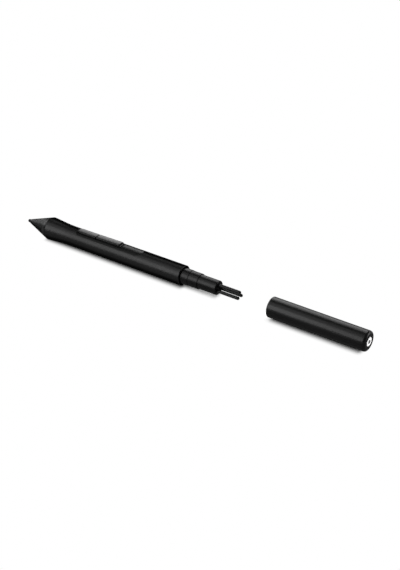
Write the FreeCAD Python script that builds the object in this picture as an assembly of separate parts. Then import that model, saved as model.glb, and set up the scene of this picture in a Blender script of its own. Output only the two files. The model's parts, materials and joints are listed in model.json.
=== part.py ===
import FreeCAD, Part
import math
import os

os.makedirs("parts", exist_ok=True)

# Battery-free digital pen, lying opened with its rear cap pulled off along the axis.
# Lengths are in millimetres. Places along the pen are counted from the nib's tip towards the cap.
# The finished frame has the pen's axis along X with the nib at -X, and the keys on top at +Z.

# How far the cap is pulled off, and the gap that it keeps to the barrel when it is on
cap_pull = 50.2
cap_seat_gap = 0.05

# Outer radii
barrel_radius = 5.2
ridge_radius = 6.1
cone_front_radius = 1.15
cap_end_radius = 5.09

# Nose and grip
nib_exposed = 1.9
nose_length = 11.4
ridge_setback = 2.8
waist_length = 14.9
grip_shoulder_run = 4.0
grip_shoulder_drop = 0.2
waist_easing = 6.4
seam_chamfer = 0.12
barrel_end_round = 0.35
barrel_wall = 1.05
barrel_tail = 25.0

# Nib
nib_radius = 0.85
nib_tip_round = 0.6
nib_tail_chamfer = 0.15
nib_guide_clearance = 0.1

# Coil assembly in the nose
nose_cavity_ahead = 2.9
nose_wall = 0.8
damper_thickness = 0.8
ferrite_length = 11.0
ferrite_radius = 2.2
ferrite_bore_clearance = 0.2
coil_thickness = 0.6
coil_setback = 0.8
coil_gap = 0.8
core_ring_length = 2.0
core_ring_inset = 0.4
nose_spigot_gap = 0.5

# Nib socket and pressure sensor
socket_gap = 0.4
socket_grip = 2.8
socket_floor = 0.8
socket_radius = 1.9
socket_fit = 0.03
stem_radius = 0.8
stem_length = 1.9
stem_fit = 0.05
spring_length = 1.2
spring_radius = 1.7
spring_bore_gap = 0.15
tip_travel = 0.4
stop_margin = 0.1
sensor_front_wall = 0.8
sensor_back_wall = 0.7
sensor_side_wall = 0.8
element_thickness = 1.2
element_play = 0.05

# General fits between neighbouring pieces
slide_fit = 0.05
seat_gap = 0.02
frame_wall = 1.0

# Switch window and its insert
sensor_to_tongue = 3.1
tongue_length = 1.0
window_half_width = 3.46
window_front_round = 2.4
bezel_inset = 0.45
bezel_depth = 2.15
bezel_edge_gap = 0.04
window_tail = 13.3

# Keys
key_front_margin = 0.4
front_key_length = 12.0
key_groove = 0.35
rear_key_length = 15.45
key_half_width = 2.0
key_front_round = 1.6
key_corner_radius = 0.4
key_side_gap = 0.1
front_key_rise = 0.22
rear_key_rise = 0.6
key_crown_radius = 9.0
key_rear_bevel = 0.8
key_flange_height = 0.6
key_flange_reach = 0.6
key_travel = 0.3

# Switches under the keys
plunger_radius = 0.7
plunger_sink = 0.4
switch_length = 3.4
switch_half_width = 1.5
switch_height = 1.0
switch_floor = 0.3

# Circuit board and what stands on it
board_thickness = 0.8
board_front_gap = 3.0
board_rear_gap = 1.6
board_edge_gap = 0.7
chip_length = 4.0
chip_half_width = 2.0
chip_height = 0.8
chip_gap = 1.0
capacitor_length = 1.6
capacitor_half_width = 0.4
capacitor_height = 0.7
capacitor_count = 4
capacitor_pitch = 2.6
capacitor_side = 1.6
trimmer_radius = 1.5
trimmer_height = 1.2
trimmer_slot_width = 0.4
trimmer_slot_depth = 0.4
trimmer_gap = 1.2
lead_radius = 0.15
lead_notch_clearance = 0.2
lead_on_board = 1.5
lead_turn_gap = 0.4

# Clips of the inner frame
frame_to_holder_gap = 0.3
clip_length = 3.0
clip_count = 3
clip_hook_height = 0.3
clip_hook_reach = 0.5

# Nib holder at the rear end of the barrel
holder_spigot_length = 8.0
collar_length = 4.3
collar_radius = 4.1
holder_groove_length = 0.4
holder_groove_depth = 0.25
holder_mid_length = 5.2
holder_mid_radius = 4.0
holder_tail_length = 10.6
holder_tail_radius = 3.65
holder_end_chamfer = 0.35
holder_step_chamfer = 0.15
spare_count = 3
spare_pitch_radius = 1.7
spare_first_angle = 92.0
spare_fit = 0.05
spare_out = 12.7

# Cap
cap_mouth_round = 0.25
cap_wall = 0.9
cap_floor_gap = 0.55
cap_end_wall = 5.6
cap_end_rim = 0.12
cap_lip_thickness = 2.4
sleeve_thickness = 0.5
sleeve_length = 7.0
sleeve_setback = 0.6
disc_radius = 2.5
disc_thickness = 0.8
disc_edge_chamfer = 0.12
puller_hole_radius = 0.95
puller_hole_depth = 4.7
puller_ring_radius = 1.9
puller_ring_thickness = 1.0

# Places along the pen, counted from the nib's tip
cone_front = nib_exposed
seam = cone_front + nose_length
ridge = seam + ridge_setback
waist = ridge + waist_length
cone_slope = (ridge_radius - cone_front_radius) / (ridge - cone_front)
seam_radius = cone_front_radius + cone_slope * (seam - cone_front)
bore_radius = barrel_radius - barrel_wall
inside_radius = bore_radius - slide_fit

nose_cavity = seam - nose_cavity_ahead
damper_end = nose_cavity + damper_thickness
ferrite_end = damper_end + ferrite_length
core_ring_end = ferrite_end - core_ring_inset
core_ring_front = core_ring_end - core_ring_length
nose_spigot_end = core_ring_front - nose_spigot_gap
coil_front = damper_end + coil_setback
coil_end = core_ring_front - coil_gap
nib_hole_radius = nib_radius + nib_guide_clearance
nose_cavity_radius = inside_radius - nose_wall

socket_front = ferrite_end + socket_gap
nib_length = socket_front + socket_grip
socket_end = nib_length + socket_floor
stem_end = socket_end + stem_length
sensor_front = socket_end + spring_length
element_front = stem_end + tip_travel + stop_margin
element_end = element_front + element_thickness
sensor_end = element_end + sensor_back_wall

window_front = sensor_end + sensor_to_tongue + tongue_length
front_key_front = window_front + key_front_margin
front_key_end = front_key_front + front_key_length
rear_key_front = front_key_end + key_groove
rear_key_end = rear_key_front + rear_key_length
window_end = rear_key_end + window_tail
barrel_end = window_end + barrel_tail

holder_front = barrel_end - holder_spigot_length
collar_end = barrel_end + collar_length
groove_end = collar_end + holder_groove_length
holder_mid_end = groove_end + holder_mid_length
holder_end = holder_mid_end + holder_tail_length
spare_depth = nib_length - spare_out
frame_end = holder_front - frame_to_holder_gap
frame_bore = inside_radius - frame_wall
board_front = sensor_end + board_front_gap
board_end = frame_end - board_rear_gap

# Heights above the pen's axis, from the window down to the board
bezel_radius = barrel_radius - bezel_inset
bezel_underside = bezel_radius - bezel_depth
flange_top = bezel_underside - slide_fit
flange_bottom = flange_top - key_flange_height
switch_top = flange_bottom - key_travel - slide_fit
board_top = switch_top - switch_height
board_bottom = board_top - board_thickness
board_half_width = math.sqrt(bore_radius**2 - board_bottom**2) - board_edge_gap

# The leads run from the coil's rear face, past the sensor and onto the board
lead_height = board_top + lead_radius
lead_coil_offset = math.sqrt((ferrite_radius + coil_thickness / 2) ** 2 - lead_height**2)
lead_run_offset = math.sqrt(frame_bore**2 - lead_height**2) + lead_radius + slide_fit

# The cap's cavity takes a spare nib that is pulled right out while the cap is on
cap_mouth = barrel_end + cap_seat_gap + cap_pull
cap_cavity_end = cap_mouth + holder_end - barrel_end + nib_length + cap_floor_gap
cap_end = cap_cavity_end + cap_end_wall
cap_bore_radius = cap_end_radius - cap_wall
cap_end_fillet = cap_end_radius - disc_radius - cap_end_rim
cap_lip_front = cap_end - cap_lip_thickness
disc_front = cap_end - disc_thickness
ring_front = disc_front - puller_ring_thickness
puller_hole_front = cap_end - puller_hole_depth
sleeve_bore = collar_radius + slide_fit
sleeve_radius = sleeve_bore + sleeve_thickness
sleeve_front = cap_mouth + sleeve_setback
sleeve_end = sleeve_front + sleeve_length

# The frame: X is measured from the middle of the laid-out length, and Z from the lowest point
middle = cap_end / 2
axis_height = ridge_radius

# Two corners of an outline that lie nearer than this are one corner
same_corner = 0.001


def point(s, r, y=0.0):
    """A point at s along the pen, at height r above its axis."""
    return FreeCAD.Vector(s - middle, y, axis_height + r)


def spin(edges):
    """The solid that a closed outline above the axis sweeps round the pen's axis."""
    face = Part.Face(Part.Wire(edges))
    return face.revolve(point(0, 0), FreeCAD.Vector(1, 0, 0), 360)


def straight(start, finish):
    """A straight edge as a list, which is empty where both ends are one corner."""
    if start.distanceToPoint(finish) < same_corner:
        return []
    return [Part.makeLine(start, finish)]


def lines(corners):
    """Straight edges through (place, radius) corners, one after another."""
    ends = [point(s, r) for s, r in corners]
    edges = []
    for start, finish in zip(ends, ends[1:]):
        edges += straight(start, finish)
    return edges


def lathe(corners):
    """A turned solid whose closed outline has straight sides."""
    return spin(lines(corners + corners[:1]))


def arc(start, through, end):
    """A round edge through three (place, radius) points."""
    a, b, c = (point(s, r) for s, r in (start, through, end))
    return Part.Arc(a, b, c).toShape()


def rounded_corner(centre_s, centre_r, radius, start_angle, end_angle):
    """A round edge about a centre, between two angles in degrees, with 0 along the pen and 90 outwards."""
    spots = []
    for angle in (start_angle, (start_angle + end_angle) / 2, end_angle):
        turn = math.radians(angle)
        spots.append((centre_s + radius * math.cos(turn), centre_r + radius * math.sin(turn)))
    return arc(*spots)


def tube(front, end, outer, inner):
    """A plain round tube."""
    return lathe([(front, inner), (end, inner), (end, outer), (front, outer)])


def rod(front, end, radius):
    """A plain round rod along the pen's axis."""
    return Part.makeCylinder(radius, end - front, point(front, 0), FreeCAD.Vector(1, 0, 0))


def block(front, end, half_width, bottom, top, side=0.0):
    """A box between two places and two heights, centred at y = side."""
    corner = point(front, bottom, side - half_width)
    return Part.makeBox(end - front, 2 * half_width, top - bottom, corner)


def plan_arc(s, y, height, radius, start_angle):
    """A level quarter round about a centre, from a start angle in degrees."""
    spots = []
    for angle in (start_angle, start_angle + 45, start_angle + 90):
        turn = math.radians(angle)
        spots.append(point(s + radius * math.cos(turn), height, y + radius * math.sin(turn)))
    return Part.Arc(*spots).toShape()


def plan_prism(front, end, half_width, near, far, bottom, top):
    """An upright prism whose plan is a rectangle with round corners, of one radius near the nib and one far."""
    rounds = [
        plan_arc(front + near, near - half_width, bottom, near, 180),
        plan_arc(end - far, far - half_width, bottom, far, 270),
        plan_arc(end - far, half_width - far, bottom, far, 0),
        plan_arc(front + near, half_width - near, bottom, near, 90),
    ]
    edges = []
    for here, following in zip(rounds, rounds[1:] + rounds[:1]):
        edges.append(here)
        edges += straight(here.Vertexes[-1].Point, following.Vertexes[0].Point)
    face = Part.Face(Part.Wire(edges))
    return face.extrude(FreeCAD.Vector(0, 0, top - bottom))


def save(name, shape):
    """Writes one piece, or one group of like pieces, as a STEP file."""
    shape.exportStep(os.path.join("parts", name + ".step"))


def make_nib(tip, turn_out=False):
    """A nib with its tip at a place, or turned about so that its tip faces the cap."""
    sign = -1 if turn_out else 1
    round_centre = tip + sign * nib_tip_round
    tail = tip + sign * nib_length
    flat = nib_radius - nib_tip_round
    middle_turn = nib_tip_round * math.sqrt(0.5)
    edges = lines([(tip, 0), (tip, flat)])
    edges.append(
        arc(
            (tip, flat),
            (round_centre - sign * middle_turn, flat + middle_turn),
            (round_centre, nib_radius),
        )
    )
    edges += lines(
        [
            (round_centre, nib_radius),
            (tail - sign * nib_tail_chamfer, nib_radius),
            (tail, nib_radius - nib_tail_chamfer),
            (tail, 0),
            (tip, 0),
        ]
    )
    return spin(edges)


def make_nose_cone():
    return lathe(
        [
            (cone_front, nib_hole_radius),
            (cone_front, cone_front_radius),
            (seam - seam_chamfer, seam_radius - cone_slope * seam_chamfer),
            (seam, seam_radius - seam_chamfer),
            (seam, inside_radius),
            (nose_spigot_end, inside_radius),
            (nose_spigot_end, nose_cavity_radius),
            (nose_cavity, nose_cavity_radius),
            (nose_cavity, nib_hole_radius),
        ]
    )


def waist_curve():
    """The hollow of the grip, which runs into the straight barrel without a corner."""
    curve = Part.BezierCurve()
    curve.setPoles(
        [
            point(ridge, ridge_radius),
            point(ridge + grip_shoulder_run, ridge_radius - grip_shoulder_drop),
            point(waist - waist_easing, barrel_radius),
            point(waist, barrel_radius),
        ]
    )
    return curve.toShape()


def make_barrel():
    rear = barrel_end - barrel_end_round
    edges = lines(
        [
            (barrel_end, bore_radius),
            (seam, bore_radius),
            (seam, seam_radius - seam_chamfer),
            (seam + seam_chamfer, seam_radius + cone_slope * seam_chamfer),
            (ridge, ridge_radius),
        ]
    )
    edges.append(waist_curve())
    edges += lines([(waist, barrel_radius), (rear, barrel_radius)])
    edges.append(
        rounded_corner(rear, barrel_radius - barrel_end_round, barrel_end_round, 90, 0)
    )
    edges += lines([(barrel_end, barrel_radius - barrel_end_round), (barrel_end, bore_radius)])
    return spin(edges).cut(window_prism(0.0, barrel_radius))


def window_prism(inset, top):
    """The switch window's plan as a prism from the pen's axis up to a height."""
    return plan_prism(
        window_front + inset,
        window_end - inset,
        window_half_width - inset,
        window_front_round - inset,
        window_half_width - inset,
        0.0,
        top,
    )


def make_switch_bezel():
    front = window_front - tongue_length
    end = window_end + tongue_length
    plug = window_prism(bezel_edge_gap, barrel_radius).common(rod(front, end, bezel_radius))
    tongues = rod(front, end, inside_radius)
    bezel = plug.fuse(tongues)
    bezel = bezel.cut(block(front, end, barrel_radius, -barrel_radius, bezel_underside))
    slot = plan_prism(
        front_key_front - key_side_gap,
        rear_key_end + key_side_gap,
        key_half_width + key_side_gap,
        key_front_round + key_side_gap,
        key_corner_radius + key_side_gap,
        0.0,
        barrel_radius,
    )
    return bezel.cut(slot).removeSplitter()


def key_blank(front, end, near):
    """A key's stem through the slot, taller than the finished key, with its own radius at the nib's side."""
    return plan_prism(
        front,
        end,
        key_half_width,
        near,
        key_corner_radius,
        flange_bottom,
        barrel_radius + rear_key_rise + key_crown_radius,
    )


def key_crown(front, front_height, end, end_height):
    """A long round bar whose upper side is the crown of a key that climbs from one height to another."""
    start = point(front, front_height - key_crown_radius)
    finish = point(end, end_height - key_crown_radius)
    direction = finish.sub(start)
    return Part.makeCylinder(key_crown_radius, direction.Length, start, direction)


def ramp_height(s):
    """The height of the crown line over the axis at a place along both keys."""
    share = (s - front_key_front) / (rear_key_end - front_key_front)
    return barrel_radius + front_key_rise + (rear_key_rise - front_key_rise) * max(share, 0.0) ** 2


def key_flange(front, end):
    """The lip that holds a key under the insert."""
    return block(front, end, key_half_width + key_flange_reach, flange_bottom, flange_top)


def make_front_key():
    over = key_crown_radius
    low = ramp_height(front_key_front)
    high = ramp_height(front_key_end)
    climb = (high - low) / front_key_length
    crown = key_crown(
        front_key_front - over,
        low - climb * over,
        front_key_end + over,
        high + climb * over,
    )
    top = key_blank(front_key_front, front_key_end, key_front_round).common(crown)
    flange = key_flange(front_key_front - key_flange_reach, front_key_end)
    return top.fuse(flange).removeSplitter()


def make_rear_key():
    over = key_crown_radius
    low = ramp_height(rear_key_front)
    high = ramp_height(rear_key_end)
    climb = (high - low) / rear_key_length
    crown = key_crown(
        rear_key_front - over,
        low - climb * over,
        rear_key_end + over,
        high + climb * over,
    )
    top = key_blank(rear_key_front, rear_key_end, key_corner_radius).common(crown)
    bevel_edges = [
        point(rear_key_end - key_rear_bevel, high, -barrel_radius),
        point(rear_key_end, high - key_rear_bevel, -barrel_radius),
        point(rear_key_end, high + key_rear_bevel, -barrel_radius),
        point(rear_key_end - key_rear_bevel, high + key_rear_bevel, -barrel_radius),
    ]
    bevel = Part.Face(Part.makePolygon(bevel_edges + bevel_edges[:1]))
    top = top.cut(bevel.extrude(FreeCAD.Vector(0, 2 * barrel_radius, 0)))
    flange = key_flange(rear_key_front, rear_key_end + key_flange_reach)
    return top.fuse(flange).removeSplitter()


def switch_places():
    """The middles of the two keys, where their switches stand."""
    return [(front_key_front + front_key_end) / 2, (rear_key_front + rear_key_end) / 2]


def upright_rod(s, side, bottom, top, radius):
    return Part.makeCylinder(radius, top - bottom, point(s, bottom, side), FreeCAD.Vector(0, 0, 1))


def make_switch_plunger(place):
    return upright_rod(place, 0.0, switch_top - plunger_sink, flange_bottom, plunger_radius)


def make_tact_switches():
    bodies = []
    for place in switch_places():
        body = block(
            place - switch_length / 2,
            place + switch_length / 2,
            switch_half_width,
            board_top,
            switch_top,
        )
        hole = upright_rod(
            place, 0.0, board_top + switch_floor - slide_fit, switch_top, plunger_radius + slide_fit
        )
        bodies.append(body.cut(hole))
    return Part.makeCompound(bodies)


def make_front_damper():
    return tube(nose_cavity, damper_end, nose_cavity_radius - slide_fit, nib_hole_radius + slide_fit)


def make_ferrite_core():
    return tube(damper_end, ferrite_end, ferrite_radius, nib_radius + ferrite_bore_clearance)


def make_coil_winding():
    return tube(coil_front, coil_end, ferrite_radius + coil_thickness, ferrite_radius)


def make_coil_leads():
    leads = []
    for side in (-1, 1):
        spots = [
            point(coil_end, lead_height, side * lead_coil_offset),
            point(coil_end + lead_turn_gap, lead_height, side * lead_coil_offset),
            point(core_ring_end + lead_turn_gap, lead_height, side * lead_run_offset),
            point(board_front + lead_on_board, lead_height, side * lead_run_offset),
        ]
        lead = Part.makeSphere(lead_radius, spots[1])
        lead = lead.fuse(Part.makeSphere(lead_radius, spots[2]))
        for start, finish in zip(spots, spots[1:]):
            run = finish.sub(start)
            lead = lead.fuse(Part.makeCylinder(lead_radius, run.Length, start, run))
        leads.append(lead.removeSplitter())
    return Part.makeCompound(leads)


def make_nib_socket():
    return lathe(
        [
            (socket_front, nib_radius + socket_fit),
            (nib_length + socket_fit, nib_radius + socket_fit),
            (nib_length + socket_fit, 0),
            (stem_end, 0),
            (stem_end, stem_radius),
            (socket_end, stem_radius),
            (socket_end, socket_radius),
            (socket_front, socket_radius),
        ]
    )


def make_pressure_spring():
    return tube(socket_end, sensor_front, spring_radius, stem_radius + spring_bore_gap)


def make_sensor_case():
    hole = stem_radius + stem_fit
    cavity = frame_bore - slide_fit - sensor_side_wall
    wall_end = sensor_front + sensor_front_wall
    return lathe(
        [
            (sensor_front, hole),
            (wall_end, hole),
            (wall_end, cavity),
            (element_end, cavity),
            (element_end, 0),
            (sensor_end, 0),
            (sensor_end, frame_bore - slide_fit),
            (sensor_front, frame_bore - slide_fit),
        ]
    )


def make_pressure_element():
    radius = frame_bore - slide_fit - sensor_side_wall - element_play
    return rod(element_front, element_end, radius)


def make_inner_frame():
    trough = tube(core_ring_front, frame_end, inside_radius, frame_bore)
    trough = trough.cut(
        block(core_ring_front, frame_end, barrel_radius, board_bottom, barrel_radius)
    )
    ring = tube(core_ring_front, core_ring_end, inside_radius, ferrite_radius + slide_fit)
    notch_bottom = lead_height - lead_radius - lead_notch_clearance
    notch_top = lead_height + lead_radius + lead_notch_clearance
    notches = block(core_ring_front, core_ring_end, barrel_radius, notch_bottom, notch_top).cut(
        block(core_ring_front, core_ring_end, ferrite_radius + slide_fit, notch_bottom, notch_top)
    )
    end_wall = rod(board_end + slide_fit, frame_end, inside_radius)
    end_wall = end_wall.common(
        block(board_end, frame_end, barrel_radius, -barrel_radius, board_top + capacitor_height)
    )
    frame = trough.fuse(ring.cut(notches)).fuse(end_wall)
    for index in range(clip_count):
        frame = frame.fuse(frame_clips(clip_place(index)))
    return frame.removeSplitter()


def clip_place(index):
    """The clips are spread evenly along the board."""
    return board_front + (board_end - board_front) * (index + 1) / (clip_count + 1)


def frame_clips(place):
    """A pair of clips beside the board, each with a hook over the board's edge."""
    front = place - clip_length / 2
    end = place + clip_length / 2
    hook_bottom = board_top + slide_fit
    hook_top = hook_bottom + clip_hook_height
    stem_edge = board_half_width + slide_fit
    outer = rod(front, end, inside_radius)
    stems = block(front, end, barrel_radius, board_bottom, hook_top)
    stems = stems.cut(block(front, end, stem_edge, board_bottom, hook_top))
    hooks = block(front, end, barrel_radius, hook_bottom, hook_top)
    hooks = hooks.cut(block(front, end, board_half_width - clip_hook_reach, hook_bottom, hook_top))
    return outer.common(stems.fuse(hooks))


def make_circuit_board():
    return block(board_front, board_end, board_half_width, board_bottom, board_top)


def on_board(front, length, half_width, height, side=0.0):
    return block(front, front + length, half_width, board_top, board_top + height, side)


def chip_front():
    return rear_key_end + key_flange_reach + chip_gap


def make_main_chip():
    return on_board(chip_front(), chip_length, chip_half_width, chip_height)


def capacitor_front():
    return chip_front() + chip_length + chip_gap


def make_capacitors():
    bodies = []
    for index in range(capacitor_count):
        front = capacitor_front() + (index // 2) * capacitor_pitch
        side = capacitor_side if index % 2 else -capacitor_side
        bodies.append(
            on_board(front, capacitor_length, capacitor_half_width, capacitor_height, side)
        )
    return Part.makeCompound(bodies)


def make_trimmer():
    rows = (capacitor_count + 1) // 2
    place = capacitor_front() + rows * capacitor_pitch + trimmer_gap + trimmer_radius
    top = board_top + trimmer_height
    body = upright_rod(place, 0.0, board_top, top, trimmer_radius)
    slot = block(
        place - trimmer_radius,
        place + trimmer_radius,
        trimmer_slot_width / 2,
        top - trimmer_slot_depth,
        top,
    )
    return body.cut(slot)


def spare_places():
    """Each spare nib's place across the pen, as (y, height)."""
    places = []
    for index in range(spare_count):
        turn = math.radians(spare_first_angle + index * 360 / spare_count)
        places.append((spare_pitch_radius * math.cos(turn), spare_pitch_radius * math.sin(turn)))
    return places


def make_nib_holder():
    groove_radius = collar_radius - holder_groove_depth
    body = lathe(
        [
            (holder_front, 0),
            (holder_front, inside_radius),
            (barrel_end, inside_radius),
            (barrel_end, collar_radius),
            (collar_end - holder_step_chamfer, collar_radius),
            (collar_end, collar_radius - holder_step_chamfer),
            (collar_end, groove_radius),
            (groove_end, groove_radius),
            (groove_end, holder_mid_radius),
            (holder_mid_end - holder_step_chamfer, holder_mid_radius),
            (holder_mid_end, holder_mid_radius - holder_step_chamfer),
            (holder_mid_end, holder_tail_radius),
            (holder_end - holder_end_chamfer, holder_tail_radius),
            (holder_end, holder_tail_radius - holder_end_chamfer),
            (holder_end, 0),
        ]
    )
    for y, height in spare_places():
        socket = Part.makeCylinder(
            nib_radius + spare_fit,
            spare_depth,
            point(holder_end - spare_depth, height, y),
            FreeCAD.Vector(1, 0, 0),
        )
        body = body.cut(socket)
    return body


def make_spare_nib(y, height):
    nib = make_nib(holder_end + spare_out, turn_out=True)
    nib.translate(FreeCAD.Vector(0, y, height))
    return nib


def make_cap_tube():
    fillet_centre = cap_end - cap_end_fillet
    mouth_centre = cap_mouth + cap_mouth_round
    edges = lines(
        [
            (fillet_centre, cap_end_radius),
            (mouth_centre, barrel_radius),
        ]
    )
    edges.append(
        rounded_corner(mouth_centre, barrel_radius - cap_mouth_round, cap_mouth_round, 90, 180)
    )
    edges += lines(
        [
            (cap_mouth, barrel_radius - cap_mouth_round),
            (cap_mouth, sleeve_bore + slide_fit),
            (sleeve_front, sleeve_bore + slide_fit),
            (sleeve_front, sleeve_radius + seat_gap),
            (sleeve_end, sleeve_radius + seat_gap),
            (sleeve_end, cap_bore_radius),
            (cap_lip_front, cap_bore_radius),
            (cap_lip_front, disc_radius),
            (cap_end, disc_radius),
            (cap_end, cap_end_radius - cap_end_fillet),
        ]
    )
    edges.append(
        rounded_corner(fillet_centre, cap_end_radius - cap_end_fillet, cap_end_fillet, 0, 90)
    )
    return spin(edges)


def make_cap_end_plug():
    """The plug inside the closed end, which carries the disc and the nib puller's ring."""
    return lathe(
        [
            (cap_cavity_end, 0),
            (cap_cavity_end, cap_bore_radius - seat_gap),
            (cap_lip_front, cap_bore_radius - seat_gap),
            (cap_lip_front, disc_radius - seat_gap),
            (disc_front, disc_radius - seat_gap),
            (disc_front, puller_ring_radius + seat_gap),
            (ring_front, puller_ring_radius + seat_gap),
            (ring_front, puller_hole_radius),
            (puller_hole_front, puller_hole_radius),
            (puller_hole_front, 0),
        ]
    )


def make_cap_grip_sleeve():
    return tube(sleeve_front, sleeve_end, sleeve_radius, sleeve_bore)


def make_cap_end_disc():
    rim = disc_radius - seat_gap
    return lathe(
        [
            (disc_front, puller_hole_radius),
            (disc_front, rim),
            (cap_end - disc_edge_chamfer, rim),
            (cap_end, rim - disc_edge_chamfer),
            (cap_end, puller_hole_radius),
        ]
    )


def make_nib_puller_ring():
    return tube(ring_front, disc_front, puller_ring_radius, puller_hole_radius)


def main():
    front_switch, rear_switch = switch_places()
    pieces = {
        "nib": make_nib(0.0),
        "nose_cone": make_nose_cone(),
        "barrel": make_barrel(),
        "switch_bezel": make_switch_bezel(),
        "front_key": make_front_key(),
        "rear_key": make_rear_key(),
        "front_switch_plunger": make_switch_plunger(front_switch),
        "rear_switch_plunger": make_switch_plunger(rear_switch),
        "tact_switches": make_tact_switches(),
        "front_damper": make_front_damper(),
        "ferrite_core": make_ferrite_core(),
        "coil_winding": make_coil_winding(),
        "coil_leads": make_coil_leads(),
        "nib_socket": make_nib_socket(),
        "pressure_spring": make_pressure_spring(),
        "sensor_case": make_sensor_case(),
        "pressure_element": make_pressure_element(),
        "inner_frame": make_inner_frame(),
        "circuit_board": make_circuit_board(),
        "main_chip": make_main_chip(),
        "capacitors": make_capacitors(),
        "trimmer": make_trimmer(),
        "nib_holder": make_nib_holder(),
        "cap_tube": make_cap_tube(),
        "cap_end_plug": make_cap_end_plug(),
        "cap_grip_sleeve": make_cap_grip_sleeve(),
        "cap_end_disc": make_cap_end_disc(),
        "nib_puller_ring": make_nib_puller_ring(),
    }
    for number, (y, height) in enumerate(spare_places(), start=1):
        pieces[f"spare_nib_{number}"] = make_spare_nib(y, height)
    for name, shape in pieces.items():
        save(name, shape)
    print("closed length", round(cap_end - cap_pull, 3), "laid-out length", round(cap_end, 3))


main()
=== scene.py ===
import functools
import json
import math

import bmesh
import bpy
from bpy.props import FloatProperty, PointerProperty
from mathutils import Matrix, Vector


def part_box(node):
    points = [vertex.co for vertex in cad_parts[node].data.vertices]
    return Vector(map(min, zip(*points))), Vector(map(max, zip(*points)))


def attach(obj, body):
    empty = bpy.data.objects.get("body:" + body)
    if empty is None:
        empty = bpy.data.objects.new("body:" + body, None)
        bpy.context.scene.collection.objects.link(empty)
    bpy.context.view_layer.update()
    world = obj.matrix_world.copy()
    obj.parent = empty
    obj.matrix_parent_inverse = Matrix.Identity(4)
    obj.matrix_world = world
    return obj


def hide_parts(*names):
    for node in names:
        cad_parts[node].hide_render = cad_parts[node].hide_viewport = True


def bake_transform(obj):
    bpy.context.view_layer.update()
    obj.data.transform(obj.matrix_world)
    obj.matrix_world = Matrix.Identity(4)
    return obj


bl_info = {
    "name": "Opened digital pen",
    "version": (1, 0, 0),
    "blender": (4, 5, 0),
    "location": "View3D > Sidebar > Digital Pen",
    "description": "Dresses the packed digital pen with finished pieces, materials and a pale studio",
    "category": "Object",
}

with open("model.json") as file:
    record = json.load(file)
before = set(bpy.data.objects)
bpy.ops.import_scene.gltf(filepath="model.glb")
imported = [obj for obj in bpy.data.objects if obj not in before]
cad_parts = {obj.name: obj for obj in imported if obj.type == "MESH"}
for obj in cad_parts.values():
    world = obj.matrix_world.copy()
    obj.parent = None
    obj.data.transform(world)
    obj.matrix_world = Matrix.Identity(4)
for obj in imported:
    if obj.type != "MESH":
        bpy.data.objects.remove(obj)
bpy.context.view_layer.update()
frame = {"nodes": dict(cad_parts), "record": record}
# Each CAD node's material slot and body, and those of trim that stands for no node
SLOTS = {row["node"]: row["material_slot"] for row in frame["record"]["subparts"]}
BODIES = {node: body for body, nodes in frame["record"]["behaviour"]["bodies"].items() for node in nodes}
TRIM_SLOT = "spring_steel"
TRIM_BODY = "pen_body"

# In millimetres: s is a place along the pen from the nib's tip, y lies beside the pen's axis, a height is
# over the axis, and r is the distance from it.
MM = 0.001
NIB_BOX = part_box("nib")
TIP = NIB_BOX[0].x
AXIS = (NIB_BOX[0].z + NIB_BOX[1].z) / 2


def span_of(node):
    """Where a CAD node starts and ends along the pen."""
    return tuple((corner.x - TIP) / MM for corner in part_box(node))


def heights_of(node):
    """The lowest and highest heights of a CAD node."""
    return tuple((corner.z - AXIS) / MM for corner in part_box(node))


# Radii and places that the part's source names, in millimetres
BARREL_RADIUS = 5.2
RIDGE_RADIUS = 6.1
CONE_FRONT_RADIUS = 1.15
NIB_RADIUS = 0.85
NIB_HOLE_RADIUS = 0.95
BORE_RADIUS = 4.15
INSIDE_RADIUS = 4.1
NOSE_CAVITY_RADIUS = 3.3
SEAM = 13.3
NOSE_CAVITY_LENGTH = 2.9
RIDGE = 16.1
WAIST = 31.0
SHOULDER_RUN = 4.0
SHOULDER_DROP = 0.2
WAIST_EASING = 6.4
WINDOW_FRONT = 34.6
WINDOW_HALF_WIDTH = 3.46
WINDOW_FRONT_ROUND = 2.4
KEYS_INSET = 0.4
BEZEL_RADIUS = 4.75
BEZEL_UNDERSIDE = 2.6
BEZEL_GAP = 0.04
BEZEL_TAIL = 1.0
FRONT_KEY_END = 47.0
REAR_KEY_FRONT = 47.35
KEYS_END = 62.8
KEY_HALF_WIDTH = 2.0
KEY_FRONT_ROUND = 1.6
KEY_CORNER = 0.4
KEY_SIDE_GAP = 0.1
KEY_CROWN = 9.0
FRONT_KEY_RISE = 0.22
REAR_KEY_RISE = 0.6
KEY_REAR_BEVEL = 0.8
KEY_BEVEL_SLOPE = 0.9
FLANGE_TOP = 2.55
FLANGE_BOTTOM = 1.95
FLANGE_REACH = 0.6
FLANGE_CORNER = 0.2
COLLAR_RADIUS = 4.1
COLLAR_LENGTH = 4.3
HOLDER_GROOVE_RADIUS = 3.85
HOLDER_GROOVE_LENGTH = 0.4
HOLDER_MID_RADIUS = 4.0
HOLDER_MID_LENGTH = 5.2
HOLDER_TAIL_RADIUS = 3.65
SPARE_COUNT = 3
SPARE_PITCH = 1.7
SPARE_FIRST_ANGLE = 92.0
SOCKET_RADIUS = 0.9
SOCKET_DEPTH = 12.7
SOCKET_EASE = 0.12
CAP_END_RADIUS = 5.09
CAP_END_RIM = 0.12
CAP_BORE_RADIUS = 4.19
CAP_LIP = 2.4
DISC_RADIUS = 2.5
DISC_THICKNESS = 0.8
DISC_FACE = 0.15
DISC_HOLE_EASE = 0.2
DISC_RELIEF = 1.5
DISC_LIP = 0.2
DISC_GAP = 0.03
PULLER_HOLE_DEPTH = 4.7
PULLER_RING_RADIUS = 1.9
SEAT_GAP = 0.02
SLEEVE_BORE = 4.15
SLEEVE_RADIUS = 4.65
MOUTH_GAP = 0.05

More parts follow.
